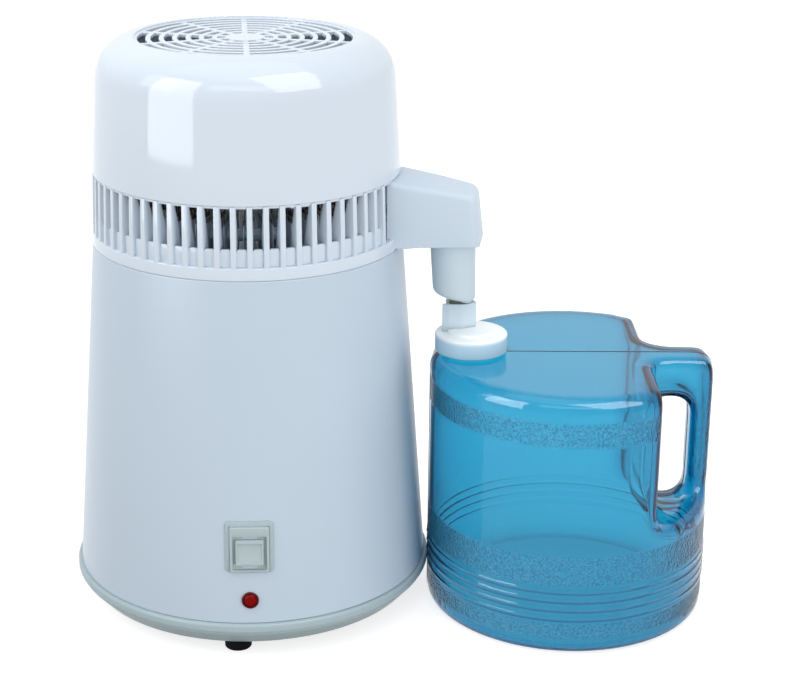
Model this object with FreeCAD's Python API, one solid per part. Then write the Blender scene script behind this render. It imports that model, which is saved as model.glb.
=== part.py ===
import FreeCAD, Part
import functools
import math
import os

# Countertop water distiller, in millimetres and degrees.
# Origin: on the counter, on the boiler's axis. +Z is up, +X runs along the arm towards the jug and -Y is
# the front. Azimuths turn about +Z and start at +X.

V = FreeCAD.Vector
UP = V(0, 0, 1)
FRONT = -90.0
REAR = 90.0

# ---- Fits ----
loose = 0.3             # between pieces that are laid or slid together
snug = 0.15             # round a piece that is pushed into a hole of its own
running = 0.05          # radial, round a shaft or pivot
threaded = 0.1          # radial, round a screw in the hole that it cuts

# ---- Boiler housing ----
foot_height = 8.0
foot_radius = 8.5
foot_inset = 17.8       # from the shell's foot to the circle of the feet
foot_angle = 4.8
foot_count = 4
foot_recess = 3.4
skirt_foot_inset = 7.5
skirt_fold_proud = 1.4
skirt_rim_proud = 2.5
skirt_low_height = 10.5
skirt_rim_height = 6.3
tray_floor = 2.5
tray_wall = 2.6
lip_height = 6.2
lip_wall = 2.0
shell_foot_radius = 115.0
shell_top_radius = 98.8
shell_height = 217.2
shell_wall = 2.5
shell_boss_radius = 5.5
shell_boss_height = 31.0
rib_wall = 3.0
rib_height = 9.0
front_angle = 9.8        # the controls sit this far towards the jug from the front

# ---- Screws: shank radius, head radius, head height ----
foot_screw = (1.9, 3.7, 2.2)
foot_screw_reach = 22.0
plate_screw = (1.5, 2.4, 1.6)
plate_screw_reach = 3.4
plate_screw_count = 6
head_screw = (1.9, 3.6, 1.8)
head_screw_reach = 14.0
motor_screw = (1.4, 2.6, 1.6)
motor_screw_reach = 6.0
inlet_screw = (1.5, 2.8, 1.6)
inlet_screw_reach = 7.0

# ---- Boiling pot ----
pot_inset = 14.8        # from the shell's top radius to the pot's inside
pot_wall = 1.0
pot_depth = 182.0
pot_corner = 15.0
pot_rim_width = 9.0
support_height = 6.0
support_gap = 1.0
support_inset = 3.3
shelf_depth = 3.0
shelf_inset = 7.8

# ---- Heater ----
clamp_inset = 16.0
clamp_height = 3.0
heater_inset = 13.0
heater_radius = 4.0
heater_leg = 22.0
heater_leg_angle = 8.0
stud_circle = 30.0
stud_radius = 2.5
stud_reach = 11.0
stud_count = 3
nut_radius = 4.6
nut_height = 4.0
thermostat_radius = 12.0
thermostat_height = 8.0
cutout_radius = 8.0
cutout_height = 6.0
terminal_length = 34.0
terminal_width = 16.0
terminal_height = 14.0
terminal_place = (-30.0, 34.0)

# ---- Switch and lamp ----
cover_width = 30.2
cover_low = 58.6
cover_high = 92.1
cover_wall = 1.2
frame_width = 24.5
frame_height = 29.4
frame_middle = 74.0
frame_proud = 2.4
frame_depth = 17.0
recess_width = 21.0
recess_height = 21.9
recess_middle = 71.65
recess_depth = 2.5
rocker_width = 17.4
rocker_height = 16.3
rocker_thick = 10.0
rocker_proud = 0.5
rocker_gap = 0.9
rocker_tilt = 6.0
rocker_face_width = 15.5
rocker_face_height = 11.0
rocker_face_depth = 0.4
pivot_depth = 3.0
pivot_radius = 1.2
pivot_reach = 1.6
blade_width = 6.0
blade_thick = 0.8
blade_reach = 8.0
lamp_height = 40.3
bezel_radius = 5.3
bezel_proud = 1.5
lamp_sleeve_radius = 4.9
lamp_sleeve_depth = 9.5
lens_radius = 4.1
lens_dome = 1.8

# ---- Mains inlet ----
inlet_height = 60.0
inlet_width = 27.5
inlet_tall = 20.0
inlet_depth = 19.0
inlet_flange_width = 50.0
inlet_flange_tall = 22.5
inlet_flange = 2.5
inlet_wall = 1.6
inlet_cavity = 16.0
inlet_screw_pitch = 40.0
pin_width = 2.0
pin_tall = 2.2
pin_reach = 13.0
pin_pitch = 7.0
pin_line_drop = 1.0
pad_width = 56.0
pad_tall = 34.0
pad_proud = 1.1
pad_thick = 5.0

# ---- Head ring with the arm ----
ring_height = 45.4
ring_draft = 1.4
band_height = 8.0
band_wall = 3.3
ledge_width = 7.5
ledge_height = 2.5
tooth_height = 11.0
tooth_wall = 2.0
tooth_setback = 2.4
blade_count = 62
slat_thick = 3.6
slat_low_depth = 15.0
slat_high_depth = 3.5
crown_height = 1.5
crown_width = 4.9
crown_setback = 1.0
ear_width = 12.0
ear_height = 2.5
ear_round = 5.0
ear_inset = 9.4
ear_count = 3
ear_angle = 60.0
arm_reach = 18.3        # from the cup's axis to the arm's end
arm_draft = 3.8
arm_bend = 24.9         # from the arm's end to the bend in its top
arm_bend_drop = 4.9
arm_half_width = 23.0
arm_wall = 2.5
arm_sunk = 5.4
arm_floor_lift = 3.0
arm_end_height = 34.2
arm_corner = 4.5
arm_edge = 3.0
cheek_reach = 6.5

# ---- Condenser ----
plate_inset = 2.5
plate_thick = 1.2
gasket_height = 3.2
gasket_inset = 2.2
gasket_width = 2.8
tube_radius = 4.0
tube_wall = 0.8
tube_lift = 18.6        # from the head plate's top to the tube's centre line
tube_bend = 12.0
tube_sweep = 15.0
coil_inset = 14.0
tube_entry = 15.0
tube_drop = 2.0
fin_half_width = 13.0
fin_half_height = 12.0
fin_thick = 0.5
fin_first_angle = 36.0
fin_last_angle = 344.0
fin_count = 77

# ---- Fan ----
bracket_thick = 2.0
bracket_hub = 24.0
bracket_arm = 10.0
motor_radius = 17.0
motor_height = 22.0
motor_screw_circle = 11.0
motor_screw_count = 4
shaft_radius = 1.5
shaft_sunk = 16.0
rotor_hub_radius = 22.0
rotor_hub_wall = 2.0
rotor_hub_height = 24.0
rotor_lift = 12.0
rotor_inset = 6.5
rotor_blade_width = 26.0
rotor_blade_thick = 1.6
rotor_blade_angle = 32.0
rotor_blades = 7

# ---- Dome ----
dome_height = 84.0
dome_draft = 3.55
dome_corner = 24.5
dome_wall = 2.5
grille_inset = 28.9
grille_recess = 1.2
grille_thick = 2.4
grille_angle = 12.0
slot_rings = 7
slot_first_radius = 14.8
grille_rim = 4.5
slot_width = 5.0
spoke_count = 10
spoke_width = 3.7
dome_boss_radius = 4.4
dome_boss_height = 13.0

# ---- Fan plug ----
plug_half_width = 7.0
plug_inset = 1.0
plug_thick = 4.0
plug_flange = 2.0
plug_flange_wider = 2.0
plug_rise = 2.8
socket_half_width = 9.0
socket_wall = 0.6
socket_inset = 0.4
socket_depth = 15.0
socket_shoulder = 2.0
socket_rise = 1.0
contact_half_pitch = 3.5
contact_half_width = 1.5
contact_half_thick = 0.6
contact_reach = 6.0

# ---- Filter cup ----
cup_offset = 13.0       # from the cup's axis to the neck's
cup_lean = 1.7
cup_radius = 14.5
cup_low_radius = 13.4
cup_wall = 1.5
cup_depth = 40.0
cup_bottom_low = 38.8   # below the arm, where the slanted bottom meets the outlet side
cup_bottom_slope = 12.0
cup_angle = 8.0
outlet_offset = 8.4
outlet_radius = 3.6
outlet_bore = 2.4
outlet_depth = 41.1
outlet_height = 6.0
collar_radius = 12.5
collar_wall = 1.3
collar_height = 5.6
lug_width = 7.0
lug_reach = 1.9
lug_height = 2.0
lug_angle = 60.0
sachet_radius = 11.0
sachet_height = 22.0
sachet_lift = 7.0

# ---- Jug ----
jug_radius = 91.4
jug_gap = 0.25          # to the skirt
jug_wall = 2.5
jug_foot_round = 7.0
jug_shoulder_round = 9.0
jug_angle = 7.4
neck_reach = 65.4       # from the neck to the jug's own axis
jug_flat = 49.0         # from the jug's axis to the flat wall behind the handle
handle_ledge = 78.0
handle_far_ledge = 48.0  # on the side away from the switch
handle_half_width = 15.0
handle_inner = 77.5
handle_blend = 10.0
handle_far_blend = 20.0
handle_low_round = 12.0
handle_split = 54.0     # from the jug's axis to where the handle's solid starts
shoulder_depth = 21.0   # from the jug's top to where the shoulder's solid ends
finger_low = 69.0
finger_drop = 26.5      # from the jug's top
finger_round = 12.0
bead_heights = (25.5, 31.8, 38.0, 44.2)
bead_half = 1.5
bead_proud = 0.6
neck_radius = 20.0
neck_wall = 2.5
neck_height = 10.4
neck_flare = 25.4
neck_flare_drop = 6.0

# ---- Cap ----
cap_radius = 23.3
cap_wall = 2.2
cap_height = 11.8
cap_top = 2.0
cap_edge = 1.5
seal_thick = 1.0
flap_radius = 15.5
flap_height = 2.1
flap_angle = 36.3
flap_offset = 4.8
spout_x = -8.0
spout_y = 2.5
spout_angle = 22.0
spout_width = 19.2
spout_depth = 9.6
spout_round = 2.0
spout_wall = 1.2
spout_height = 20.2
drip_gap = 1.3          # between the spout and the cup's outlet

# ---- Levels and radii that follow ----
foot_circle = shell_foot_radius - foot_inset
skirt_foot_radius = shell_foot_radius - skirt_foot_inset
skirt_fold_radius = shell_foot_radius + skirt_fold_proud
skirt_rim_radius = shell_foot_radius + skirt_rim_proud
ring_top_radius = shell_top_radius - ring_draft
band_inner = shell_top_radius - band_wall
support_outer = shell_top_radius - support_inset
shelf_inner = shell_top_radius - shelf_inset
pot_radius = shell_top_radius - pot_inset
clamp_radius = pot_radius - clamp_inset
heater_circle = clamp_radius - heater_inset
gasket_radius = pot_radius + gasket_inset
coil_radius = pot_radius - coil_inset
fin_inner = coil_radius - fin_half_width
fin_outer = coil_radius + fin_half_width
ledge_inner = band_inner - ledge_width
plate_radius = band_inner - plate_inset
plug_inner = ledge_inner + plug_inset
plug_outer = plug_inner + plug_thick
socket_inner = plug_inner - socket_wall
socket_outer = support_outer - socket_inset
ear_circle = ring_top_radius - ear_inset
ear_inner = ear_circle - ear_round
arm_root = ring_top_radius - arm_sunk
grille_radius = ring_top_radius - grille_inset
rotor_radius = grille_radius - rotor_inset
slot_spacing = (grille_radius - grille_rim - slot_first_radius) / (slot_rings - 1)
skirt_fold = foot_height + skirt_low_height
seam = skirt_fold + skirt_rim_height
floor_top = foot_height + tray_floor
head_seam = seam + shell_height
dome_seam = head_seam + ring_height
dome_top = dome_seam + dome_height
pot_outer = pot_radius + pot_wall
support_inner = pot_outer + support_gap
rim_top = head_seam - 2.0
rim_low = rim_top - pot_wall
rim_radius = pot_outer + pot_rim_width
shelf_top = rim_low - support_height
pot_bottom = rim_top - pot_depth - pot_wall
clamp_low = pot_bottom - clamp_height
plate_low = rim_top + gasket_height
plate_top = plate_low + plate_thick
ledge_top = plate_top + ledge_height
band_top = head_seam + band_height
tube_level = plate_top + tube_lift
arm_low = head_seam + arm_floor_lift
grille_top = dome_top - grille_recess
motor_top = dome_seam + bracket_thick + motor_height
rotor_low = dome_seam + bracket_thick + rotor_lift
jug_x = skirt_rim_radius + jug_gap + jug_radius
jug_y = neck_reach * math.sin(math.radians(jug_angle))
neck_x = jug_x - neck_reach * math.cos(math.radians(jug_angle))
cup_x = neck_x - cup_offset
arm_end = cup_x + arm_reach
spout_top = arm_low - outlet_depth - drip_gap
cap_high = spout_top - spout_height + cap_top
cap_low = cap_high - cap_height
neck_top = cap_high - cap_top - seal_thick
jug_height = neck_top - neck_height
finger_high = jug_height - finger_drop


# ---- Shapes used by many pieces ----
def box(x0, x1, y0, y1, z0, z1):
    """Return a block between two corners."""
    return Part.makeBox(x1 - x0, y1 - y0, z1 - z0, V(x0, y0, z0))


def rod(radius, z0, z1, x=0.0, y=0.0):
    """Return an upright cylinder."""
    return Part.makeCylinder(radius, z1 - z0, V(x, y, z0))


def ring(outer, inner, z0, z1, x=0.0, y=0.0):
    """Return an upright round ring."""
    return rod(outer, z0, z1, x, y).cut(rod(inner, z0 - 1.0, z1 + 1.0, x, y))


def turned(shape, azimuth, x=0.0, y=0.0):
    """Return a copy turned about an upright line."""
    copy = shape.copy()
    copy.rotate(V(x, y, 0), UP, azimuth)
    return copy


def moved(shape, x=0.0, y=0.0, z=0.0):
    """Return a copy moved aside."""
    copy = shape.copy()
    copy.translate(V(x, y, z))
    return copy


def spaced(shape, count, first=0.0):
    """Return copies spread evenly about the axis."""
    return [turned(shape, first + index * 360.0 / count) for index in range(count)]


def joined(shapes):
    """Return the shapes fused into one, without seams."""
    return shapes[0].multiFuse(shapes[1:]).removeSplitter()


def at(azimuth, radius):
    """Return the x and y of a point on a circle about the axis."""
    angle = math.radians(azimuth)
    return radius * math.cos(angle), radius * math.sin(angle)


class Outline:
    """A closed outline in the XZ plane, drawn from point to point."""

    def __init__(self, x, z):
        self.start = V(x, 0, z)
        self.here = self.start
        self.edges = []

    def to(self, x, z):
        """Add a straight run to a point."""
        there = V(x, 0, z)
        if there.distanceToPoint(self.here) > 1e-6:
            self.edges.append(Part.LineSegment(self.here, there).toShape())
        self.here = there
        return self

    def round(self, x, z, radius, first, last):
        """Add an arc about a centre, from one angle to another, and the run that leads to it."""
        points = []
        for share in (0.0, 0.5, 1.0):
            angle = math.radians(first + share * (last - first))
            points.append(V(x + radius * math.cos(angle), 0, z + radius * math.sin(angle)))
        self.to(points[0].x, points[0].z)
        self.edges.append(Part.Arc(*points).toShape())
        self.here = points[2]
        return self

    def face(self):
        """Close the outline and return its face."""
        self.to(self.start.x, self.start.z)
        return Part.Face(Part.Wire(self.edges))

    def spun(self):
        """Return the outline spun round the Z axis."""
        return self.face().revolve(V(0, 0, 0), UP, 360)

    def drawn(self, y0, y1):
        """Return the outline drawn out along Y."""
        face = self.face()
        face.translate(V(0, y0, 0))
        return face.extrude(V(0, y1 - y0, 0))

    def raised(self, z0, z1):
        """Return the outline read as a plan, its second coordinate along Y, and raised along Z."""
        block = self.face().extrude(V(0, z0 - z1, 0))
        block.rotate(V(0, 0, 0), V(1, 0, 0), -90)
        block.translate(V(0, 0, z0))
        return block


def slab(width, depth, corner, z0, z1):
    """Return an upright block about the origin with rounded corners."""
    half_x = width / 2 - corner
    half_y = depth / 2 - corner
    outline = Outline(half_x, -half_y - corner)
    outline.round(half_x, -half_y, corner, -90, 0)
    outline.round(half_x, half_y, corner, 0, 90)
    outline.round(-half_x, half_y, corner, 90, 180)
    outline.round(-half_x, -half_y, corner, 180, 270)
    return outline.raised(z0, z1)


def screw(kind, x, y, seat, reach):
    """Return a pan-head screw that points up, with its head under the seat and a hex socket in it."""
    shank, head, height = kind
    socket = hexagon(head / 2, seat - height - 1.0, seat - height / 2)
    body = rod(head, seat - height, seat).fuse(rod(shank, seat - height / 4, seat + reach))
    return moved(body.cut(socket), x, y)


def hexagon(radius, z0, z1):
    """Return an upright hexagonal bar, with its corners at the radius."""
    points = [V(*at(60 * corner, radius), z0) for corner in range(7)]
    return Part.Face(Part.makePolygon(points)).extrude(V(0, 0, z1 - z0))


# ---- Places on the housing ----
def shell_radius(z):
    """Return the outer radius of the tapered shell at a height."""
    return shell_foot_radius - (z - seam) * (shell_foot_radius - shell_top_radius) / shell_height


def ring_radius(z):
    """Return the outer radius of the head ring at a height."""
    return shell_top_radius - (z - head_seam) * (shell_top_radius - ring_top_radius) / ring_height


shell_slope = math.degrees(math.atan((shell_foot_radius - shell_top_radius) / shell_height))
pad_face = shell_radius(inlet_height) + pad_proud


def on_front(shape, z):
    """Return a shape drawn about the origin and facing -Y, laid on the front wall at a height."""
    copy = shape.copy()
    copy.rotate(V(0, 0, 0), V(1, 0, 0), -shell_slope)
    copy.translate(V(0, -shell_radius(z), z))
    return turned(copy, front_angle)


def foot_places():
    """Return the x and y of each foot."""
    return [at(FRONT + foot_angle + k * 360.0 / foot_count, foot_circle) for k in range(foot_count)]


# ---- Boiler ----
def rubber_feet():
    shank, head, height = foot_screw
    feet = []
    for x, y in foot_places():
        foot = rod(foot_radius, 0, foot_height, x, y)
        foot = foot.cut(rod(head + loose, -1, foot_recess, x, y))
        feet.append(foot.cut(rod(shank + snug, -1, foot_height + 1, x, y)))
    return Part.makeCompound(feet)


def foot_screws():
    reach = foot_screw_reach
    return Part.makeCompound([screw(foot_screw, x, y, foot_recess, reach) for x, y in foot_places()])


def base_tray():
    """Return the skirt, its floor and the lip that centres the shell."""
    lip_outer = shell_radius(seam + lip_height) - shell_wall - snug
    lip_inner = lip_outer - lip_wall
    bulge = skirt_rim_radius - skirt_fold_radius
    half = skirt_rim_height / 2
    bulge_radius = (half ** 2 + bulge ** 2) / (2 * bulge)
    reach = math.degrees(math.asin(half / bulge_radius))
    outline = Outline(0, foot_height).to(skirt_foot_radius, foot_height).to(skirt_fold_radius, skirt_fold)
    outline.round(skirt_rim_radius - bulge_radius, skirt_fold + half, bulge_radius, -reach, reach)
    outline.to(lip_outer, seam).to(lip_outer, seam + lip_height).to(lip_inner, seam + lip_height)
    outline.to(lip_inner, skirt_fold).to(skirt_foot_radius - tray_wall, floor_top).to(0, floor_top)
    tray = outline.spun()
    for x, y in foot_places():
        tray = tray.cut(rod(foot_screw[0] + snug, 0, floor_top + 1, x, y))
    return tray


def shell_form(inset):
    """Return the shell's tapered form, drawn inwards by an inset."""
    side = inset / math.cos(math.radians(shell_slope))
    outline = Outline(0, seam).to(shell_foot_radius - side, seam).to(shell_top_radius - side, head_seam)
    return outline.to(0, head_seam).spun()


def shell_boss():
    """Return the boss over a foot at +X, with the rib that ties it to the wall."""
    boss = rod(shell_boss_radius, floor_top, floor_top + shell_boss_height, foot_circle)
    rib_top = floor_top + shell_boss_height
    rib_end = shell_radius(rib_top) - shell_wall / 2
    return boss.fuse(box(foot_circle, rib_end, -rib_wall / 2, rib_wall / 2, rib_top - rib_height, rib_top))


def outer_shell():
    """Return the tapered housing with its shelf, bosses, inlet pad and openings."""
    shelf = ring(shell_radius(shelf_top) - shell_wall / 2, shelf_inner, shelf_top - shelf_depth, shelf_top)
    pad = box(-pad_width / 2, pad_width / 2, -pad_face, -pad_face + pad_thick,
              inlet_height - pad_tall / 2, inlet_height + pad_tall / 2)
    wall = shell_form(0).cut(shell_form(shell_wall))
    bosses = spaced(shell_boss(), foot_count, FRONT + foot_angle)
    shell = joined([wall, shelf, turned(pad, front_angle + 180)] + bosses)
    shell = shell.cut(on_front(frame_block(snug), frame_middle))
    shell = shell.cut(on_front(lying(rod(lamp_sleeve_radius + snug, -20, 20)), lamp_height))
    inlet = box(-inlet_width / 2 - snug, inlet_width / 2 + snug, -pad_face - 1, -pad_face + pad_thick + 9,
                inlet_height - inlet_tall / 2 - snug, inlet_height + inlet_tall / 2 + snug)
    shell = shell.cut(turned(inlet, front_angle + 180))
    for hole in inlet_screw_holes():
        shell = shell.cut(hole)
    for x, y in foot_places():
        shell = shell.cut(rod(foot_screw[0] + threaded, 0, foot_recess + foot_screw_reach + 2, x, y))
    return shell.cut(socket_notch(shelf_top - shelf_depth - 1, shelf_top + 1, 0, socket_outer + snug))


def socket_notch(z0, z1, wider, reach):
    """Return the space that the fan socket takes through the shelf or a rim, out to a radius."""
    half = socket_half_width + wider + snug
    return box(-half, half, socket_inner - snug, reach, z0, z1)


def pot_support_ring():
    support = ring(support_outer, support_inner, shelf_top, rim_low)
    return support.cut(socket_notch(shelf_top - 1, rim_low + 1, socket_shoulder, support_outer + 1))


def boiling_pot():
    """Return the deep-drawn pot with its flat rim and the studs under it."""
    corner = pot_corner + pot_wall
    outline = Outline(0, pot_bottom)
    outline.round(pot_outer - corner, pot_bottom + corner, corner, -90, 0)
    outline.to(pot_outer, rim_low).to(rim_radius, rim_low).to(rim_radius, rim_top).to(pot_radius, rim_top)
    outline.round(pot_radius - pot_corner, pot_bottom + corner, pot_corner, 0, -90)
    pot = outline.to(0, pot_bottom + pot_wall).spun()
    stud = rod(stud_radius, pot_bottom - stud_reach, pot_bottom + pot_wall / 2, stud_circle)
    pot = joined([pot] + spaced(stud, stud_count, REAR))
    return pot.cut(socket_notch(rim_low - 1, rim_top + 1, 0, rim_radius + 1))


def heater_form(wider):
    """Return the ring-shaped tube of the heater, thicker by a clearance."""
    level = clamp_low - heater_radius * 3 / 4
    return Part.makeTorus(heater_circle, heater_radius + wider, V(0, 0, level), UP)


def heating_element():
    level = clamp_low - heater_radius * 3 / 4
    leg = rod(heater_radius, level - heater_leg, level, heater_circle)
    legs = [turned(leg, REAR + side * heater_leg_angle) for side in (-1, 1)]
    return joined([heater_form(0)] + legs)


def element_plate():
    plate = rod(clamp_radius, clamp_low, pot_bottom)
    holes = spaced(rod(stud_radius + snug, clamp_low - 1, pot_bottom + 1, stud_circle), stud_count, REAR)
    for hole in holes:
        plate = plate.cut(hole)
    return plate.cut(heater_form(running))


def element_nuts():
    nut = moved(hexagon(nut_radius, clamp_low - nut_height, clamp_low), stud_circle)
    nut = nut.cut(rod(stud_radius + threaded, clamp_low - nut_height - 1, clamp_low + 1, stud_circle))
    return Part.makeCompound(spaced(nut, stud_count, REAR))


def thermostat():
    low = clamp_low - thermostat_height
    body = rod(thermostat_radius, low, clamp_low)
    tabs = [box(x - 3, x + 3, -0.4, 0.4, low - 7, low + 1) for x in (-5.5, 5.5)]
    return joined([body] + tabs)


def thermal_cutout():
    low = clamp_low - cutout_height
    body = rod(cutout_radius, low, clamp_low, stud_circle)
    tabs = [box(x - 2.5, x + 2.5, -0.4, 0.4, low - 6, low + 1)
            for x in (stud_circle - 4.5, stud_circle + 4.5)]
    return turned(joined([body] + tabs), REAR + 180.0 / stud_count)


def terminal_block():
    """Return the block of three screw terminals on the floor."""
    x, y = terminal_place
    half_x = terminal_length / 2
    half_y = terminal_width / 2
    block = box(x - half_x, x + half_x, y - half_y, y + half_y, floor_top, floor_top + terminal_height)
    pitch = terminal_length / 3
    for way in (-1, 0, 1):
        block = block.cut(rod(pitch / 4, floor_top + terminal_height / 2, floor_top + terminal_height + 1,
                              x + way * pitch, y))
    return block


# ---- Switch, lamp and inlet, drawn about the origin and facing -Y ----
def lying(shape):
    """Return a shape with its +Z side turned to -Y."""
    copy = shape.copy()
    copy.rotate(V(0, 0, 0), V(1, 0, 0), 90)
    return copy


def frame_block(wider):
    """Return the block of the switch frame, wider all round by a clearance."""
    half_x = frame_width / 2 + wider
    half_z = frame_height / 2 + wider
    return box(-half_x, half_x, -frame_proud - wider, frame_depth, -half_z, half_z)


def switch_cover():
    """Return the soft cover plate that follows the wall round the switch frame."""
    skin = shell_form(-cover_wall).cut(shell_form(-running))
    middle = (cover_low + cover_high) / 2
    window = slab(cover_width, cover_high - cover_low, 3.0, 0, 40)
    window = turned(moved(lying(window), 0, -shell_radius(middle) + 20, middle), front_angle)
    return skin.common(window).cut(on_front(frame_block(snug), frame_middle))


def switch_frame():
    """Return the fixed body of the rocker switch, with its recess, well, bores and blades."""
    shift = recess_middle - frame_middle
    recess_floor = recess_depth - frame_proud
    well_x = rocker_width / 2 + loose
    well_z = rocker_height / 2 + rocker_gap
    well_y = recess_floor + rocker_thick
    body = frame_block(0)
    body = body.cut(box(-recess_width / 2, recess_width / 2, -frame_proud - 1, recess_floor,
                        shift - recess_height / 2, shift + recess_height / 2))
    body = body.cut(box(-well_x, well_x, -frame_proud - 1, well_y, shift - well_z, shift + well_z))
    half = rocker_width / 2 + pivot_reach + snug
    bore = Part.makeCylinder(pivot_radius + running, 2 * half, V(-half, pivot_depth, shift), V(1, 0, 0))
    body = body.cut(bore)
    blades = [box(x - blade_width / 2, x + blade_width / 2, frame_depth - 1, frame_depth + blade_reach,
                  z - blade_thick / 2, z + blade_thick / 2) for x, z in ((-6, 4), (6, 4), (-6, -8), (6, -8))]
    return on_front(joined([body] + blades), frame_middle)


def switch_rocker():
    """Return the rocker with its pivots, tipped so that its lower edge stands out."""
    shift = recess_middle - frame_middle
    front = recess_depth - 2 * frame_proud - rocker_proud
    body = box(-rocker_width / 2, rocker_width / 2, front, front + rocker_thick,
               shift - rocker_height / 2, shift + rocker_height / 2)
    body = body.cut(box(-rocker_face_width / 2, rocker_face_width / 2, front - 1, front + rocker_face_depth,
                        shift - rocker_face_height / 2, shift + rocker_face_height / 2))
    half = rocker_width / 2 + pivot_reach
    pivot = Part.makeCylinder(pivot_radius, 2 * half, V(-half, pivot_depth, shift), V(1, 0, 0))
    rocker = joined([body, pivot])
    rocker.rotate(V(0, pivot_depth, shift), V(1, 0, 0), -rocker_tilt)
    return on_front(rocker, frame_middle)


def lamp_bezel():
    sleeve = rod(lamp_sleeve_radius, -lamp_sleeve_depth, bezel_proud / 2)
    bezel = rod(bezel_radius, 0, bezel_proud).fuse(sleeve)
    bezel = bezel.cut(rod(lens_radius + snug, -lamp_sleeve_depth - 1, bezel_proud + 1))
    return on_front(lying(bezel), lamp_height)


def lamp_lens():
    """Return the lens, a short rod with a domed end."""
    dome_radius = (lens_radius ** 2 + lens_dome ** 2) / (2 * lens_dome)
    reach = math.degrees(math.asin(lens_radius / dome_radius))
    outline = Outline(0, -lamp_sleeve_depth).to(lens_radius, -lamp_sleeve_depth)
    outline.round(0, bezel_proud / 2 + lens_dome - dome_radius, dome_radius, 90 - reach, 90)
    return on_front(lying(outline.spun()), lamp_height)


def mains_inlet():
    """Return the three-pin appliance inlet, on its pad at the rear."""
    flange = box(-inlet_flange_width / 2, inlet_flange_width / 2, -pad_face - inlet_flange, -pad_face,
                 inlet_height - inlet_flange_tall / 2, inlet_height + inlet_flange_tall / 2)
    body = box(-inlet_width / 2, inlet_width / 2, -pad_face - inlet_flange / 2, -pad_face + inlet_depth,
               inlet_height - inlet_tall / 2, inlet_height + inlet_tall / 2)
    front = -pad_face - inlet_flange
    cavity = box(-inlet_width / 2 + inlet_wall, inlet_width / 2 - inlet_wall, front - 1, front + inlet_cavity,
                 inlet_height - inlet_tall / 2 + inlet_wall, inlet_height + inlet_tall / 2 - inlet_wall)
    holes = [lying(rod(inlet_screw[0] + snug, pad_face - 1, pad_face + inlet_flange + 1, x, inlet_height))
             for x in (-inlet_screw_pitch / 2, inlet_screw_pitch / 2)]
    inlet = flange.fuse(body).cut(cavity)
    for hole in holes:
        inlet = inlet.cut(hole)
    places = ((-pin_pitch, -pin_line_drop), (pin_pitch, -pin_line_drop), (0.0, pin_tall + pin_line_drop))
    back = front + inlet_cavity
    pins = [box(x - pin_width / 2, x + pin_width / 2, back - pin_reach, back + 1,
                inlet_height + z - pin_tall / 2, inlet_height + z + pin_tall / 2) for x, z in places]
    return turned(joined([inlet] + pins), front_angle + 180)


def inlet_screw_holes():
    """Return the two screw holes in the shell's pad."""
    holes = [lying(rod(inlet_screw[0] + threaded, pad_face - pad_thick - 1, pad_face + 1, x, inlet_height))
             for x in (-inlet_screw_pitch / 2, inlet_screw_pitch / 2)]
    return [turned(hole, front_angle + 180) for hole in holes]


def inlet_screws():
    seat = pad_face + inlet_flange
    screws = []
    for x in (-inlet_screw_pitch / 2, inlet_screw_pitch / 2):
        upright = screw(inlet_screw, 0, 0, 0, inlet_screw_reach)
        upright.rotate(V(0, 0, 0), V(1, 0, 0), -90)
        screws.append(turned(moved(upright, x, -seat, inlet_height), front_angle + 180))
    return Part.makeCompound(screws)


# ---- Fan socket on the pot's rim, and its plug in the head ----
def contact_blade(wider, z0, z1):
    """Return the pair of flat contacts, wider all round by a clearance."""
    middle = (plug_inner + plug_outer) / 2
    half = contact_half_width + wider
    thick = contact_half_thick + wider
    return [box(x - half, x + half, middle - thick, middle + thick, z0, z1)
            for x in (-contact_half_pitch, contact_half_pitch)]


def contact_socket():
    top = rim_top + socket_rise
    body = box(-socket_half_width, socket_half_width, socket_inner, socket_outer, top - socket_depth, top)
    shoulder_half = socket_half_width + socket_shoulder
    shoulder = box(-shoulder_half, shoulder_half, socket_inner, socket_outer, shelf_top,
                   shelf_top + socket_shoulder)
    socket = joined([body, shoulder])
    for slot in contact_blade(loose, top - contact_reach - 1, top + 1):
        socket = socket.cut(slot)
    return socket


def contact_plug():
    low = rim_top + socket_rise + loose
    body = box(-plug_half_width, plug_half_width, plug_inner, plug_outer, low, ledge_top + plug_rise)
    wide = plug_half_width + plug_flange_wider
    flange = box(-wide, wide, plug_inner, plug_outer, ledge_top, ledge_top + plug_flange)
    contacts = contact_blade(0, low - contact_reach, low + 1)
    return joined([body, flange] + contacts)


def plug_space(z0, z1):
    """Return the space that the plug takes through the head plate and the ledge."""
    half = plug_half_width + snug
    return box(-half, half, plug_inner - snug, plug_outer + snug, z0, z1)


# ---- Head ring and arm ----
def ear_places():
    """Return the x and y of the ears that carry the fan bracket and the dome."""
    return [at(ear_angle + k * 360.0 / ear_count, ear_circle) for k in range(ear_count)]


def plate_screw_places():
    """Return the x and y of the screws that hold the head plate, on the middle of its ledge."""
    circle = (ledge_inner + plate_radius) / 2 + 0.3
    return [at(k * 360.0 / plate_screw_count, circle) for k in range(plate_screw_count)]


def ring_band():
    """Return the solid lower band with its ledge and the low wall behind the slats."""
    wall_outer = ring_radius(band_top) - tooth_setback
    wall_inner = wall_outer - tooth_wall
    outline = Outline(band_inner, head_seam).to(ring_radius(head_seam), head_seam)
    outline.to(ring_radius(band_top), band_top).to(wall_outer, band_top)
    outline.to(wall_outer, band_top + tooth_height).to(wall_inner, band_top + tooth_height)
    outline.to(wall_inner, ledge_top).to(ledge_inner, ledge_top).to(ledge_inner, plate_top)
    return outline.to(band_inner, plate_top).spun()


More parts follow.
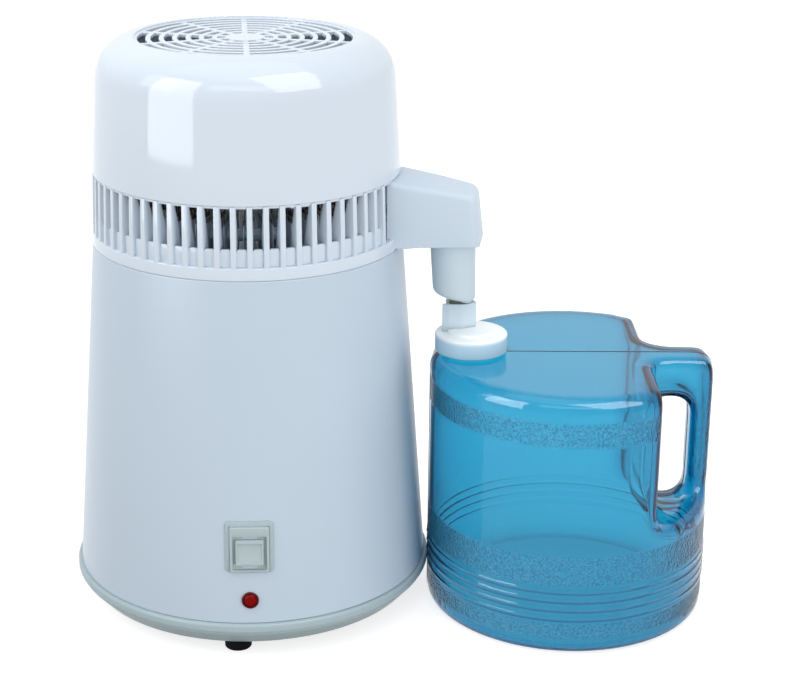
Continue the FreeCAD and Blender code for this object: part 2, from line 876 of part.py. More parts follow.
def slats():
    """Return the upright slats, which leave out the width of the arm."""
    low = ring_radius(band_top)
    high = ring_radius(dome_seam)
    outline = Outline(low - slat_low_depth, band_top).to(low, band_top).to(high, dome_seam)
    form = outline.to(high - slat_high_depth, dome_seam).spun()
    pitch = 360.0 / blade_count
    plate = box(low - slat_low_depth - 5, low + 5, -slat_thick / 2, slat_thick / 2, band_top, dome_seam)
    keep_out = math.degrees(math.asin(arm_half_width / high)) + pitch / 2
    plates = [turned(plate, (k + 0.5) * pitch) for k in range(blade_count)
              if min((k + 0.5) * pitch, 360 - (k + 0.5) * pitch) > keep_out]
    return form.common(Part.makeCompound(plates)).Solids


def arm_form(inset):
    """Return the arm's form, drawn inwards by an inset."""
    end_top = arm_end - arm_draft
    side = arm_half_width - inset
    floor = arm_low + inset
    root_top = dome_seam - 0.2 - inset
    outline = Outline(arm_root - 12 * bool(inset), floor).to(arm_end - inset, floor)
    outline.to(end_top - inset, arm_low + arm_end_height - inset)
    outline.to(arm_end - arm_bend - inset / 4, dome_seam - arm_bend_drop - inset)
    outline.to(arm_root - 12 * bool(inset), root_top)
    form = outline.drawn(-side, side)
    upright = [e for e in form.Edges if min(v.X for v in e.Vertexes) > end_top - inset - 0.1
               and max(v.Z for v in e.Vertexes) - min(v.Z for v in e.Vertexes) > arm_end_height / 2]
    form = form.makeFillet(arm_corner - inset / 2, upright)
    top = [e for e in form.Edges if e.BoundBox.ZMin > arm_low + arm_end_height - inset - 1
           and e.BoundBox.XMax > arm_root + 1 and not (e.BoundBox.XMax - e.BoundBox.XMin < 0.1
                                                       and e.BoundBox.XMax < end_top - inset - 5)]
    return form.makeFillet(arm_edge - inset / 2, top)


def cup_hole():
    """Return the hole for the cup's collar with the notches that let its lugs in."""
    hole = rod(collar_radius + loose, arm_low - 1, arm_low + arm_wall + 1, cup_x)
    reach = collar_radius + lug_reach + loose
    half = lug_width / 2 + loose
    notch = box(cup_x - reach, cup_x + reach, -half, half, arm_low - 1, arm_low + arm_wall + 1)
    return hole.fuse(turned(notch, REAR + cup_angle + lug_angle, cup_x))


def slat_ring():
    """Return the head ring: band, ledge, slats, crown, ears and the hollow arm, in one moulding."""
    high = ring_radius(dome_seam)
    crown_outer = high - crown_setback
    crown = ring(crown_outer, crown_outer - crown_width, dome_seam - crown_height, dome_seam)
    ear = box(ear_inner, crown_outer - 1, -ear_width / 2, ear_width / 2, dome_seam - ear_height, dome_seam)
    cheek = ring(high, band_inner - 2, band_top - 1, dome_seam)
    cheek_block = box(arm_root - 10, arm_end, arm_half_width - 1, arm_half_width + cheek_reach, 0, dome_seam)
    cheeks = [cheek.common(cheek_block), cheek.common(cheek_block.mirror(V(0, 0, 0), V(0, 1, 0)))]
    body = joined([ring_band(), crown, arm_form(0)] + cheeks + slats() + spaced(ear, ear_count, ear_angle))
    body = body.cut(arm_hollow()).cut(cup_hole())
    for x, y in ear_places():
        body = body.cut(rod(head_screw[0] + snug, dome_seam - ear_height - 1, dome_seam + 1, x, y))
    for x, y in plate_screw_places():
        body = body.cut(rod(plate_screw[0] + threaded, plate_top - 1, ledge_top + 1, x, y))
    return body.cut(plug_space(plate_top - 1, ledge_top + 1))


def arm_hollow():
    """Return the space inside the arm, open towards the condenser."""
    return arm_form(arm_wall)


def head_plate():
    plate = ring(plate_radius, tube_radius + running, plate_low, plate_top)
    for x, y in plate_screw_places():
        plate = plate.cut(rod(plate_screw[0] + snug, plate_low - 1, plate_top + 1, x, y))
    return plate.cut(plug_space(plate_low - 1, plate_top + 1))


def head_gasket():
    return ring(gasket_radius + gasket_width / 2, gasket_radius - gasket_width / 2, rim_top, plate_low)


def plate_screws():
    reach = plate_screw_reach
    return Part.makeCompound([screw(plate_screw, x, y, plate_low, reach) for x, y in plate_screw_places()])


# ---- Condenser ----
def level_arc(x, y, radius, first, last):
    """Return an arc at the coil's level."""
    points = []
    for share in (0.0, 0.5, 1.0):
        dx, dy = at(first + share * (last - first), radius)
        points.append(V(x + dx, y + dy, tube_level))
    return Part.Arc(*points).toShape()


def tube_path():
    """Return the steam's way: up from the plate, round the coil and out to the cup."""
    along = V(*at(tube_entry, 1.0), 0)
    left = V(*at(tube_entry + 90, 1.0), 0)
    drop = tube_bend * (1 - math.cos(math.radians(45)))
    rise = tube_bend * math.sin(math.radians(45))
    start = V(0, 0, plate_low)
    bend_start = V(0, 0, tube_level - tube_bend)
    bend_middle = along * drop + V(0, 0, tube_level - tube_bend + rise)
    bend_end = along * tube_bend + V(0, 0, tube_level)
    inner_reach = math.sqrt((coil_radius - tube_sweep) ** 2 - tube_sweep ** 2)
    entry = along * inner_reach + left * tube_sweep
    entry_swing = math.degrees(math.asin(tube_sweep / (coil_radius - tube_sweep)))
    exit_x = math.sqrt((coil_radius + tube_sweep) ** 2 - tube_sweep ** 2)
    exit_swing = math.degrees(math.asin(tube_sweep / (coil_radius + tube_sweep)))
    sweep_in = level_arc(entry.x, entry.y, tube_sweep, tube_entry - 90, tube_entry + entry_swing)
    coil = level_arc(0, 0, coil_radius, tube_entry + entry_swing, 360 - exit_swing)
    sweep_out = level_arc(exit_x, -tube_sweep, tube_sweep, 180 - exit_swing, 90)
    last_x = cup_x - tube_bend
    down_middle = V(last_x + rise, 0, tube_level - drop)
    down_end = V(cup_x, 0, tube_level - tube_bend)
    edges = [Part.LineSegment(start, bend_start).toShape(),
             Part.Arc(bend_start, bend_middle, bend_end).toShape(),
             Part.LineSegment(bend_end, along * inner_reach + V(0, 0, tube_level)).toShape(),
             sweep_in, coil, sweep_out,
             Part.LineSegment(V(exit_x, 0, tube_level), V(last_x, 0, tube_level)).toShape(),
             Part.Arc(V(last_x, 0, tube_level), down_middle, down_end).toShape(),
             Part.LineSegment(down_end, down_end - V(0, 0, tube_drop)).toShape()]
    return Part.Wire(edges)


def tube_form(radius):
    """Return a round bar along the tube's path."""
    section = Part.Wire(Part.makeCircle(radius, V(0, 0, plate_low), UP))
    return tube_path().makePipeShell([section], True, True)


def condenser_tube():
    return tube_form(tube_radius).cut(tube_form(tube_radius - tube_wall))


def condenser_fins():
    """Return the flat fins, threaded on the coil."""
    fin = box(fin_inner, fin_outer, -fin_thick / 2, fin_thick / 2,
              tube_level - fin_half_height, tube_level + fin_half_height)
    start = V(coil_radius, -tube_radius, tube_level)
    hole = Part.makeCylinder(tube_radius + running, 2 * tube_radius, start, V(0, 1, 0))
    fin = fin.cut(hole)
    step = (fin_last_angle - fin_first_angle) / (fin_count - 1)
    return Part.makeCompound([turned(fin, fin_first_angle + k * step) for k in range(fin_count)])


# ---- Fan ----
def motor_screw_places():
    return [at(45 + k * 360.0 / motor_screw_count, motor_screw_circle) for k in range(motor_screw_count)]


def motor_bracket():
    """Return the three-armed plate between the ears and the dome's bosses."""
    top = dome_seam + bracket_thick
    tip = ear_circle + head_screw[1] + loose
    arm = box(0, tip, -bracket_arm / 2, bracket_arm / 2, dome_seam, top)
    bracket = joined([rod(bracket_hub, dome_seam, top)] + spaced(arm, ear_count, ear_angle))
    for x, y in ear_places():
        bracket = bracket.cut(rod(head_screw[0] + snug, dome_seam - 1, top + 1, x, y))
    for x, y in motor_screw_places():
        bracket = bracket.cut(rod(motor_screw[0] + snug, dome_seam - 1, top + 1, x, y))
    return bracket


def fan_motor():
    low = dome_seam + bracket_thick
    motor = rod(motor_radius, low, motor_top).cut(rod(shaft_radius + running, low - 1, motor_top + 1))
    for x, y in motor_screw_places():
        motor = motor.cut(rod(motor_screw[0] + threaded, low - 1, low + motor_screw_reach, x, y))
    return motor


def bracket_screws():
    reach = motor_screw_reach
    return Part.makeCompound([screw(motor_screw, x, y, dome_seam, reach) for x, y in motor_screw_places()])


def fan_rotor():
    """Return the hub cup with its pitched blades and the bore for the shaft."""
    top = rotor_low + rotor_hub_height
    cup = rod(rotor_hub_radius, rotor_low, top)
    cup = cup.cut(rod(rotor_hub_radius - rotor_hub_wall, rotor_low - 1, top - rotor_hub_wall))
    root = rotor_hub_radius - rotor_hub_wall / 2
    blade = box(root, rotor_radius, -rotor_blade_width / 2, rotor_blade_width / 2,
                -rotor_blade_thick / 2, rotor_blade_thick / 2)
    blade.rotate(V(0, 0, 0), V(1, 0, 0), -rotor_blade_angle)
    blade = moved(blade, 0, 0, (rotor_low + top) / 2)
    sweep = ring(rotor_radius, root, rotor_low, top)
    blades = [turned(blade.common(sweep), k * 360.0 / rotor_blades) for k in range(rotor_blades)]
    rotor = joined([cup] + blades)
    return rotor.cut(rod(shaft_radius + threaded, rotor_low, top + 1))


def fan_shaft():
    return rod(shaft_radius, motor_top - shaft_sunk, rotor_low + rotor_hub_height)


def head_screws():
    seat = dome_seam - ear_height
    return Part.makeCompound([screw(head_screw, x, y, seat, head_screw_reach) for x, y in ear_places()])


# ---- Dome ----
def dome_form(inset):
    """Return the dome's form, drawn inwards by an inset: a leaning side, a round corner and a flat top."""
    lean = math.radians(dome_draft)
    corner = dome_corner - inset
    centre_z = dome_top - dome_corner
    rise = centre_z + dome_corner * math.sin(lean) - dome_seam
    centre_r = ring_top_radius - math.tan(lean) * rise - dome_corner * math.cos(lean)
    rise = centre_z + corner * math.sin(lean) - dome_seam
    foot = centre_r + corner * math.cos(lean) + math.tan(lean) * rise
    outline = Outline(0, dome_seam).to(foot, dome_seam)
    outline.round(centre_r, centre_z, corner, dome_draft, 90)
    return outline.to(0, dome_top - inset).spun()


def grille_slots():
    """Return the arc slots of the grille, ring by ring, between straight spokes."""
    low = grille_top - grille_thick - 1
    spoke = box(0, grille_radius, -spoke_width / 2, spoke_width / 2, low - 1, grille_top + 2)
    spokes = spaced(spoke, spoke_count, REAR + grille_angle)
    rings = []
    for index in range(slot_rings):
        middle = slot_first_radius + index * slot_spacing
        rings.append(ring(middle + slot_width / 2, middle - slot_width / 2, low, grille_top + 1))
    return Part.makeCompound(rings).cut(Part.makeCompound(spokes))


def dome_cover():
    """Return the dome with its ring grille and the bosses that the head screws reach."""
    boss_low = dome_seam + bracket_thick
    boss_top = boss_low + dome_boss_height
    boss = rod(dome_boss_radius, boss_low, boss_top, ear_circle)
    tie_end = ring_top_radius - dome_wall / 2 - 1
    tie = box(ear_circle, tie_end, -rib_wall / 2, rib_wall / 2, boss_low, boss_top)
    disc = rod(grille_radius + 1, grille_top - grille_thick, grille_top + grille_recess / 2)
    wall = dome_form(0).cut(dome_form(dome_wall))
    dome = joined([wall, disc] + spaced(boss.fuse(tie), ear_count, ear_angle))
    dome = dome.cut(rod(grille_radius, grille_top, dome_top + 1))
    screw_tip = dome_seam - ear_height + head_screw_reach
    for x, y in ear_places():
        dome = dome.cut(rod(head_screw[0] + threaded, dome_seam, screw_tip + 1, x, y))
    return dome.cut(grille_slots())


# ---- Filter cup ----
def cup_form(inset, top):
    """Return the cup's leaning body, drawn inwards by an inset, with its slanted bottom."""
    upper = Part.Wire(Part.makeCircle(cup_radius - inset, V(cup_x, 0, top), UP))
    low_middle = V(cup_x + cup_lean, 0, arm_low - cup_depth)
    lower = Part.Wire(Part.makeCircle(cup_low_radius - inset, low_middle, UP))
    body = Part.makeLoft([upper, lower], True)
    below = box(-60, 60, -40, 40, -60, 0)
    below.rotate(V(0, 0, 0), V(0, 1, 0), cup_bottom_slope)
    below.translate(V(cup_x + cup_lean + outlet_offset, 0, arm_low - cup_bottom_low + inset))
    return body.cut(below)


def filter_cup():
    """Return the cup under the arm with its outlet, collar and bayonet lugs."""
    outlet_x = cup_x + cup_lean / 2 + outlet_offset
    outlet_low = arm_low - outlet_depth
    outlet = rod(outlet_radius, outlet_low, outlet_low + outlet_height, outlet_x)
    collar = rod(collar_radius, arm_low - cup_wall / 2, arm_low + collar_height, cup_x)
    lug_low = arm_low + arm_wall + loose / 2
    reach = collar_radius + lug_reach
    lug = box(cup_x - reach, cup_x + reach, -lug_width / 2, lug_width / 2, lug_low, lug_low + lug_height)
    cup = joined([cup_form(0, arm_low), outlet, collar, turned(lug, REAR, cup_x)])
    cup = cup.cut(cup_form(cup_wall, arm_low - cup_wall))
    cup = cup.cut(rod(outlet_bore, outlet_low - 1, outlet_low + outlet_height + 3, outlet_x))
    collar_top = arm_low + collar_height
    cup = cup.cut(rod(collar_radius - collar_wall, arm_low - cup_wall - 1, collar_top + 1, cup_x))
    return turned(cup, cup_angle, cup_x)


def charcoal_sachet():
    """Return the charcoal sachet, resting on the low edge of the cup's slanted bottom."""
    low = arm_low - cup_bottom_low + sachet_lift
    return turned(rod(sachet_radius, low, low + sachet_height, cup_x + cup_lean / 2), cup_angle, cup_x)


# ---- Jug ----
def jug_place(shape):
    """Return a shape drawn about the jug's own axis, in its place beside the boiler."""
    return moved(turned(shape, jug_angle), jug_x, jug_y)


def jug_drum(inset):
    """Return the round form of the jug, drawn inwards by an inset, with its beads on the outside."""
    radius = jug_radius - inset
    low = jug_foot_round - inset
    high = jug_shoulder_round - inset
    outline = Outline(0, inset).round(radius - low, inset + low, low, -90, 0)
    if not inset:
        for middle in bead_heights:
            outline.to(radius, middle - bead_half).to(radius + bead_proud, middle - bead_half / 3)
            outline.to(radius + bead_proud, middle + bead_half / 3).to(radius, middle + bead_half)
    outline.round(radius - high, jug_height - inset - high, high, 0, 90)
    return outline.to(0, jug_height - inset).spun()


def beside_handle(inset, ledge, corner):
    """Return the space on the front side of the handle, above a ledge, grown by an inset."""
    flat = jug_flat - inset
    side = handle_half_width - inset
    far = jug_radius + 10
    blend = corner + inset
    low = ledge - inset
    outline = Outline(far, -side).round(flat + blend, -side - blend, blend, 90, 180)
    outline.to(flat, -far).to(far, -far)
    block = outline.raised(low, jug_height + 1)
    inner = [e for e in block.Edges if e.BoundBox.ZMax < low + 0.1
             and e.BoundBox.YMax > 0.1 - far and e.BoundBox.XMin < far - 0.1]
    return block.makeFillet(handle_low_round + inset, inner)


def jug_form(inset):
    """Return the jug's form with its handle, drawn inwards by an inset."""
    front = beside_handle(inset, handle_ledge, handle_blend)
    back = beside_handle(inset, handle_far_ledge, handle_far_blend).mirror(V(0, 0, 0), V(0, 1, 0))
    flat = jug_flat - inset
    reach = handle_half_width + 5
    far_reach = reach + handle_far_blend
    fingers = box(flat, handle_inner + inset, -reach, far_reach, finger_low - inset, finger_high + inset)
    across = [e for e in fingers.Edges if e.BoundBox.YMax - e.BoundBox.YMin > reach]
    fingers = fingers.makeFillet(finger_round, across)
    return jug_drum(inset).cut(front).cut(back).cut(fingers)


@functools.cache
def jug_moulding():
    """Return the hollow jug with its moulded handle and its neck, about the jug's own axis."""
    neck = Outline(0, jug_height - neck_flare_drop - 5).to(neck_flare, jug_height - neck_flare_drop - 5)
    neck.to(neck_flare, jug_height - neck_flare_drop).to(neck_radius, jug_height + 1)
    neck = moved(neck.to(neck_radius, neck_top).to(0, neck_top).spun(), -neck_reach)
    bore = rod(neck_radius - neck_wall, jug_height - 2 * neck_flare_drop, neck_top + 1, -neck_reach)
    outside = jug_form(0).fuse(neck)
    return outside.cut(jug_form(jug_wall)).cut(bore)


def handle_zone():
    """Return the space that the handle takes above its ledge."""
    far = 2 * jug_radius
    return box(handle_split, far, -far, far, handle_ledge, neck_top + 1)


def shoulder_zone():
    """Return the space round the jug's top."""
    far = 2 * jug_radius
    return box(-far, far, -far, far, jug_height - shoulder_depth, neck_top + 1)


def jug_body():
    """Return the jug's drum, up to its shoulder."""
    return jug_place(jug_moulding().cut(handle_zone()).cut(shoulder_zone()))


def jug_shoulder():
    """Return the jug's top with its rounded shoulder and neck."""
    return jug_place(jug_moulding().cut(handle_zone()).common(shoulder_zone()))


def jug_handle():
    return jug_place(jug_moulding().common(handle_zone()))


# ---- Cap ----
def spout_block(wider, z0, z1):
    """Return the upright block of the spout, wider all round by a clearance."""
    block = slab(spout_width + 2 * wider, spout_depth + 2 * wider, spout_round + wider, z0, z1)
    return moved(turned(block, spout_angle), neck_x + spout_x, spout_y)


def jug_cap():
    """Return the screw cap with its raised pad and the hole for the spout."""
    outline = Outline(0, cap_low).to(cap_radius, cap_low)
    outline.round(cap_radius - cap_edge, cap_high - cap_edge, cap_edge, 0, 90)
    cap = moved(outline.to(0, cap_high).spun(), neck_x)
    cap = cap.cut(rod(cap_radius - cap_wall, cap_low - 1, cap_high - cap_top, neck_x))
    flap = rod(flap_radius, cap_high - cap_top / 2, cap_high + flap_height)
    behind = box(-50, 50, flap_offset, 50, 0, cap_high + 50)
    flap = moved(turned(flap.cut(behind), flap_angle), neck_x)
    return joined([cap, flap]).cut(spout_block(snug, cap_low, cap_high + 50))


def cap_seal():
    outer = cap_radius - cap_wall - snug
    return ring(outer, neck_radius - neck_wall, neck_top, neck_top + seal_thick, neck_x)


def pour_tube():
    """Return the upright spout that catches the drip and leads it through the cap."""
    low = cap_high - cap_top
    return spout_block(0, low, spout_top).cut(spout_block(-spout_wall, low - 1, spout_top + 1))


NODES = (
    rubber_feet, foot_screws, base_tray, outer_shell, pot_support_ring, boiling_pot, heating_element,
    element_plate, element_nuts, thermostat, thermal_cutout, terminal_block, switch_cover, switch_frame,
    switch_rocker, lamp_bezel, lamp_lens, mains_inlet, inlet_screws, contact_socket, contact_plug, slat_ring,
    head_plate, head_gasket, plate_screws, condenser_tube, condenser_fins, motor_bracket, fan_motor,
    bracket_screws, fan_rotor, fan_shaft, head_screws, dome_cover, filter_cup, charcoal_sachet, jug_body,
    jug_shoulder, jug_handle, jug_cap, cap_seal, pour_tube,
)


def main():
    os.makedirs("parts", exist_ok=True)
    for node in NODES:
        shape = node()
        shape.exportStep("parts/" + node.__name__ + ".step")
        print(node.__name__, len(shape.Solids), shape.isValid(), round(shape.Volume))


main()
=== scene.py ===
"""Looks of a countertop water distiller: a tapered boiler, a lift-off fan head and a jug.

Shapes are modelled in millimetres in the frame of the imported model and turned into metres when
they are finished. The origin is on the counter, on the boiler's axis, with +X towards the jug and
-Y towards the user.
"""

import logging
from collections.abc import Callable, Iterable
from dataclasses import dataclass
from enum import Enum
from math import asin, atan2, cos, degrees, hypot, pi, radians, sin, sqrt, tan

import bmesh
import bpy
from mathutils import Matrix, Vector


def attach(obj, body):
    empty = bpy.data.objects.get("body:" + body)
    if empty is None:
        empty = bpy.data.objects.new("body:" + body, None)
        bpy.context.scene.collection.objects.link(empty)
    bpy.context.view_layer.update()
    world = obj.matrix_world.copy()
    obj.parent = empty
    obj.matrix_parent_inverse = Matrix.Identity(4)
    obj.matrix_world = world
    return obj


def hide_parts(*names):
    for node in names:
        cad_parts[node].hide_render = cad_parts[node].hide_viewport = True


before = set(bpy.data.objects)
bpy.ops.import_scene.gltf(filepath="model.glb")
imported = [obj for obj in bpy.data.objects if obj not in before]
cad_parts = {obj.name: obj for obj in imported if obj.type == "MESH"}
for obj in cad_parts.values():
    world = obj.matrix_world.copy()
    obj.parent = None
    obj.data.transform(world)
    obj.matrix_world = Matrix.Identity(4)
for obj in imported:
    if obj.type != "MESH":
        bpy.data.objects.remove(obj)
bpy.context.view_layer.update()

log = logging.getLogger("distiller")
Point = Colour = tuple[float, float, float]
Corners = list[tuple[float, ...]]
Socket = bpy.types.NodeSocket

MM = 0.001
FAR = 1000.0
HEAD_SEAM, HEAD_SEAM_RADIUS = 242.0, 98.8
DOME_SEAM, DOME_SEAM_RADIUS = 287.4, 97.4
ARM_LOW = 245.0
CUP_X = 131.3
NECK_X = 144.3
SCREW_CIRCLE = 88.0
SCREW_TURNS = [60.0, 180.0, 300.0]
BEADS = (25.5, 31.8, 38.0, 44.2)


class Axis(Enum):
    """The axis that a shape is turned about."""

    X = "X"
    Y = "Y"
    Z = "Z"


class Cut(Enum):
    """What a second shape does to the first."""

    AWAY = "DIFFERENCE"
    TOGETHER = "UNION"


def rounded(corners: Corners, closed: bool = True) -> list[tuple[float, float]]:
    """Round the corners of a flat outline.

    Args:
        corners: Points (a, b) or (a, b, radius).
        closed: Whether the last point runs on to the first.

    Returns:
        The points of the outline, with an arc at each corner that has a radius.
    """
    path: list[tuple[float, float]] = []
    count = len(corners)
    for index, corner in enumerate(corners):
        here = Vector(corner[:2])
        radius = corner[2] if len(corner) > 2 else 0.0
        if radius <= 0.0 or (not closed and index in (0, count - 1)):
            path.append((here.x, here.y))
            continue
        back = (Vector(corners[index - 1][:2]) - here).normalized()
        ahead = (Vector(corners[(index + 1) % count][:2]) - here).normalized()
        half = back.angle(ahead) / 2
        centre = here + (back + ahead).normalized() * radius / sin(half)
        first = here + back * radius / tan(half) - centre
        sweep = first.angle_signed(here + ahead * radius / tan(half) - centre)
        steps = max(2, round(abs(sweep) / radians(12)))
        for step in range(steps + 1):
            spoke = Matrix.Rotation(-sweep * step / steps, 2) @ first
            path.append((centre.x + spoke.x, centre.y + spoke.y))
    return path


class Shape:
    """A mesh in the making, in millimetres."""

    def __init__(self) -> None:
        """Start with nothing."""
        self.bm = bmesh.new()

    @classmethod
    def spun(cls, corners: Corners, closed: bool = True, steps: int = 192) -> "Shape":
        """Spin an outline of (radius, height) round the Z axis.

        Args:
            corners: The outline, as rounded() takes it.
            closed: False where the outline starts and ends on the axis.
            steps: Faces round the axis.

        Returns:
            The closed shape.
        """
        shape = cls()
        verts = [shape.bm.verts.new((x, 0, z)) for x, z in rounded(corners, closed)]
        pairs = zip(verts, verts[1:] + verts[:1] if closed else verts[1:])
        edges = [shape.bm.edges.new(pair) for pair in pairs]
        bmesh.ops.spin(shape.bm, geom=verts + edges, cent=(0, 0, 0), axis=(0, 0, 1), angle=2 * pi,
                       steps=steps, use_merge=True, use_duplicate=False)
        return shape.closed_up()

    @classmethod
    def rod(cls, radius: float, low: float, high: float, steps: int) -> "Shape":
        """Return a rod on the Z axis."""
        return cls.spun([(0, low), (radius, low), (radius, high), (0, high)], closed=False, steps=steps)

    @classmethod
    def prism(cls, corners: Corners, low: float, high: float) -> "Shape":
        """Raise a plan outline between two heights.

        Args:
            corners: The plan, as rounded() takes it.
            low: Height of the bottom.
            high: Height of the top.

        Returns:
            The closed shape.
        """
        shape = cls()
        face = shape.bm.faces.new([shape.bm.verts.new((x, y, low)) for x, y in rounded(corners)])
        grown = bmesh.ops.extrude_face_region(shape.bm, geom=[face])["geom"]
        top = [item for item in grown if isinstance(item, bmesh.types.BMVert)]
        bmesh.ops.translate(shape.bm, verts=top, vec=(0, 0, high - low))
        return shape.closed_up()

    @classmethod
    def block(cls, low: Point, high: Point) -> "Shape":
        """Return a block between two corners."""
        plan = [(low[0], low[1]), (high[0], low[1]), (high[0], high[1]), (low[0], high[1])]
        return cls.prism(plan, low[2], high[2])

    def closed_up(self) -> "Shape":
        """Merge doubles and point every face outwards."""
        bmesh.ops.remove_doubles(self.bm, verts=self.bm.verts, dist=1e-4)
        bmesh.ops.dissolve_degenerate(self.bm, edges=self.bm.edges, dist=1e-5)
        bmesh.ops.recalc_face_normals(self.bm, faces=self.bm.faces)
        return self

    def copied(self) -> "Shape":
        """Return a copy."""
        twin = Shape()
        twin.bm = self.bm.copy()
        return twin

    def moved(self, x: float = 0.0, y: float = 0.0, z: float = 0.0) -> "Shape":
        """Move the shape."""
        bmesh.ops.translate(self.bm, verts=self.bm.verts, vec=(x, y, z))
        return self

    def turned(self, angle: float, axis: Axis = Axis.Z, at: Point = (0, 0, 0)) -> "Shape":
        """Turn the shape.

        Args:
            angle: How far, in degrees.
            axis: The axis that it turns about.
            at: A point on that axis.

        Returns:
            The shape.
        """
        turn = Matrix.Rotation(radians(angle), 3, axis.value)
        bmesh.ops.rotate(self.bm, verts=self.bm.verts, cent=at, matrix=turn)
        return self

    def joined(self, *others: "Shape") -> "Shape":
        """Take other shapes into this mesh as they are.

        Args:
            others: The shapes, which stay as they are.

        Returns:
            The shape.
        """
        for other in others:
            mesh = bpy.data.meshes.new("joined")
            other.bm.to_mesh(mesh)
            self.bm.from_mesh(mesh)
            bpy.data.meshes.remove(mesh)
        return self

    def repeated(self, angles: Iterable[float]) -> "Shape":
        """Return copies of the shape, turned about the Z axis by each angle."""
        return Shape().joined(*[self.copied().turned(angle) for angle in angles])

    def softened(self, width: float, segments: int = 3, above: float = 30.0,
                 where: Callable[[Vector], bool] = lambda middle: True) -> "Shape":
        """Bevel the sharp edges.

        Args:
            width: Size of the bevel.
            segments: Faces across it.
            above: Only edges that bend by more than this many degrees.
            where: Only edges whose middle point passes this test.

        Returns:
            The shape.
        """
        edges = [edge for edge in self.bm.edges
                 if len(edge.link_faces) == 2 and degrees(edge.calc_face_angle(0.0)) >= above
                 and where((edge.verts[0].co + edge.verts[1].co) / 2)]
        bmesh.ops.bevel(self.bm, geom=edges, offset=width, offset_type="OFFSET", segments=segments,
                        profile=0.5, affect="EDGES", clamp_overlap=True, material=-1)
        return self

    def sliced(self, point: Point, normal: Point) -> "Shape":
        """Cut an edge loop into the shape where a plane meets it."""
        bmesh.ops.bisect_plane(self.bm, geom=self.bm.verts[:] + self.bm.edges[:] + self.bm.faces[:],
                               plane_co=point, plane_no=normal)
        return self

    def cropped(self, point: Point, normal: Point) -> "Shape":
        """Cut off what lies beyond a plane, and close the shape again.

        Args:
            point: A point on the plane.
            normal: The way to the side that goes.

        Returns:
            The shape.
        """
        bmesh.ops.bisect_plane(self.bm, geom=self.bm.verts[:] + self.bm.edges[:] + self.bm.faces[:],
                               plane_co=point, plane_no=normal, clear_outer=True)
        bmesh.ops.holes_fill(self.bm, edges=[edge for edge in self.bm.edges if edge.is_boundary], sides=0)
        return self.closed_up()

    def smoothed(self, times: int, verts: list[bmesh.types.BMVert] | None = None) -> "Shape":
        """Smooth the surface.

        Args:
            times: How often.
            verts: The points that move, or None for all.

        Returns:
            The shape.
        """
        chosen = self.bm.verts if verts is None else verts
        for _ in range(times):
            bmesh.ops.smooth_vert(self.bm, verts=chosen, factor=0.5, use_axis_x=True, use_axis_y=True,
                                  use_axis_z=True)
        return self

    def combined(self, other: "Shape", cut: Cut = Cut.AWAY) -> "Shape":
        """Cut another shape away, or join it, with a clean edge.

        Args:
            other: The other shape.
            cut: What it does to this one.

        Returns:
            The shape.
        """
        tool = other._placed("tool")
        self._modified("BOOLEAN", operation=cut.value, object=tool, solver="EXACT")
        bpy.data.objects.remove(tool)
        return self

    def remeshed(self, voxel: float) -> "Shape":
        """Rebuild the surface from even faces."""
        return self._modified("REMESH", mode="VOXEL", voxel_size=voxel * MM)

    def _placed(self, name: str) -> bpy.types.Object:
        """Return the shape as an object in metres."""
        mesh = bpy.data.meshes.new(name)
        self.bm.to_mesh(mesh)
        mesh.transform(Matrix.Scale(MM, 4))
        placed = bpy.data.objects.new(name, mesh)
        bpy.context.scene.collection.objects.link(placed)
        return placed

    def _modified(self, kind: str, **values: object) -> "Shape":
        """Put the shape through a modifier.

        Args:
            kind: The modifier's type.
            values: Its settings.

        Returns:
            The shape.
        """
        source = self._placed("source")
        modifier = source.modifiers.new("change", kind)
        for key, value in values.items():
            setattr(modifier, key, value)
        seen = source.evaluated_get(bpy.context.evaluated_depsgraph_get())
        mesh = bpy.data.meshes.new_from_object(seen)
        mesh.transform(Matrix.Scale(1 / MM, 4))
        self.bm.clear()
        self.bm.from_mesh(mesh)
        bpy.data.meshes.remove(mesh)
        bpy.data.objects.remove(source)
        return self

    def finished(self, name: str, body: str, finish: "Finish", *nodes: str,
                 smooth: float = 35.0) -> bpy.types.Object:
        """Make the shape a piece of the object.

        Args:
            name: Name of the piece.
            body: Body that it moves with.
            finish: What it is made of.
            nodes: CAD nodes that it stands for.
            smooth: Edges that bend by more than this many degrees stay sharp.

        Returns:
            The new object.
        """
        piece = self._placed(name)
        self.bm.free()
        mesh = piece.data
        mesh.name = name
        mesh.shade_smooth()
        mesh.set_sharp_from_angle(angle=radians(smooth))
        mesh.materials.append(finish.material())
        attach(piece, body)
        if nodes:
            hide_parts(*nodes)
        log.info("%s: %d faces on %s", name, len(mesh.polygons), body)
        return piece


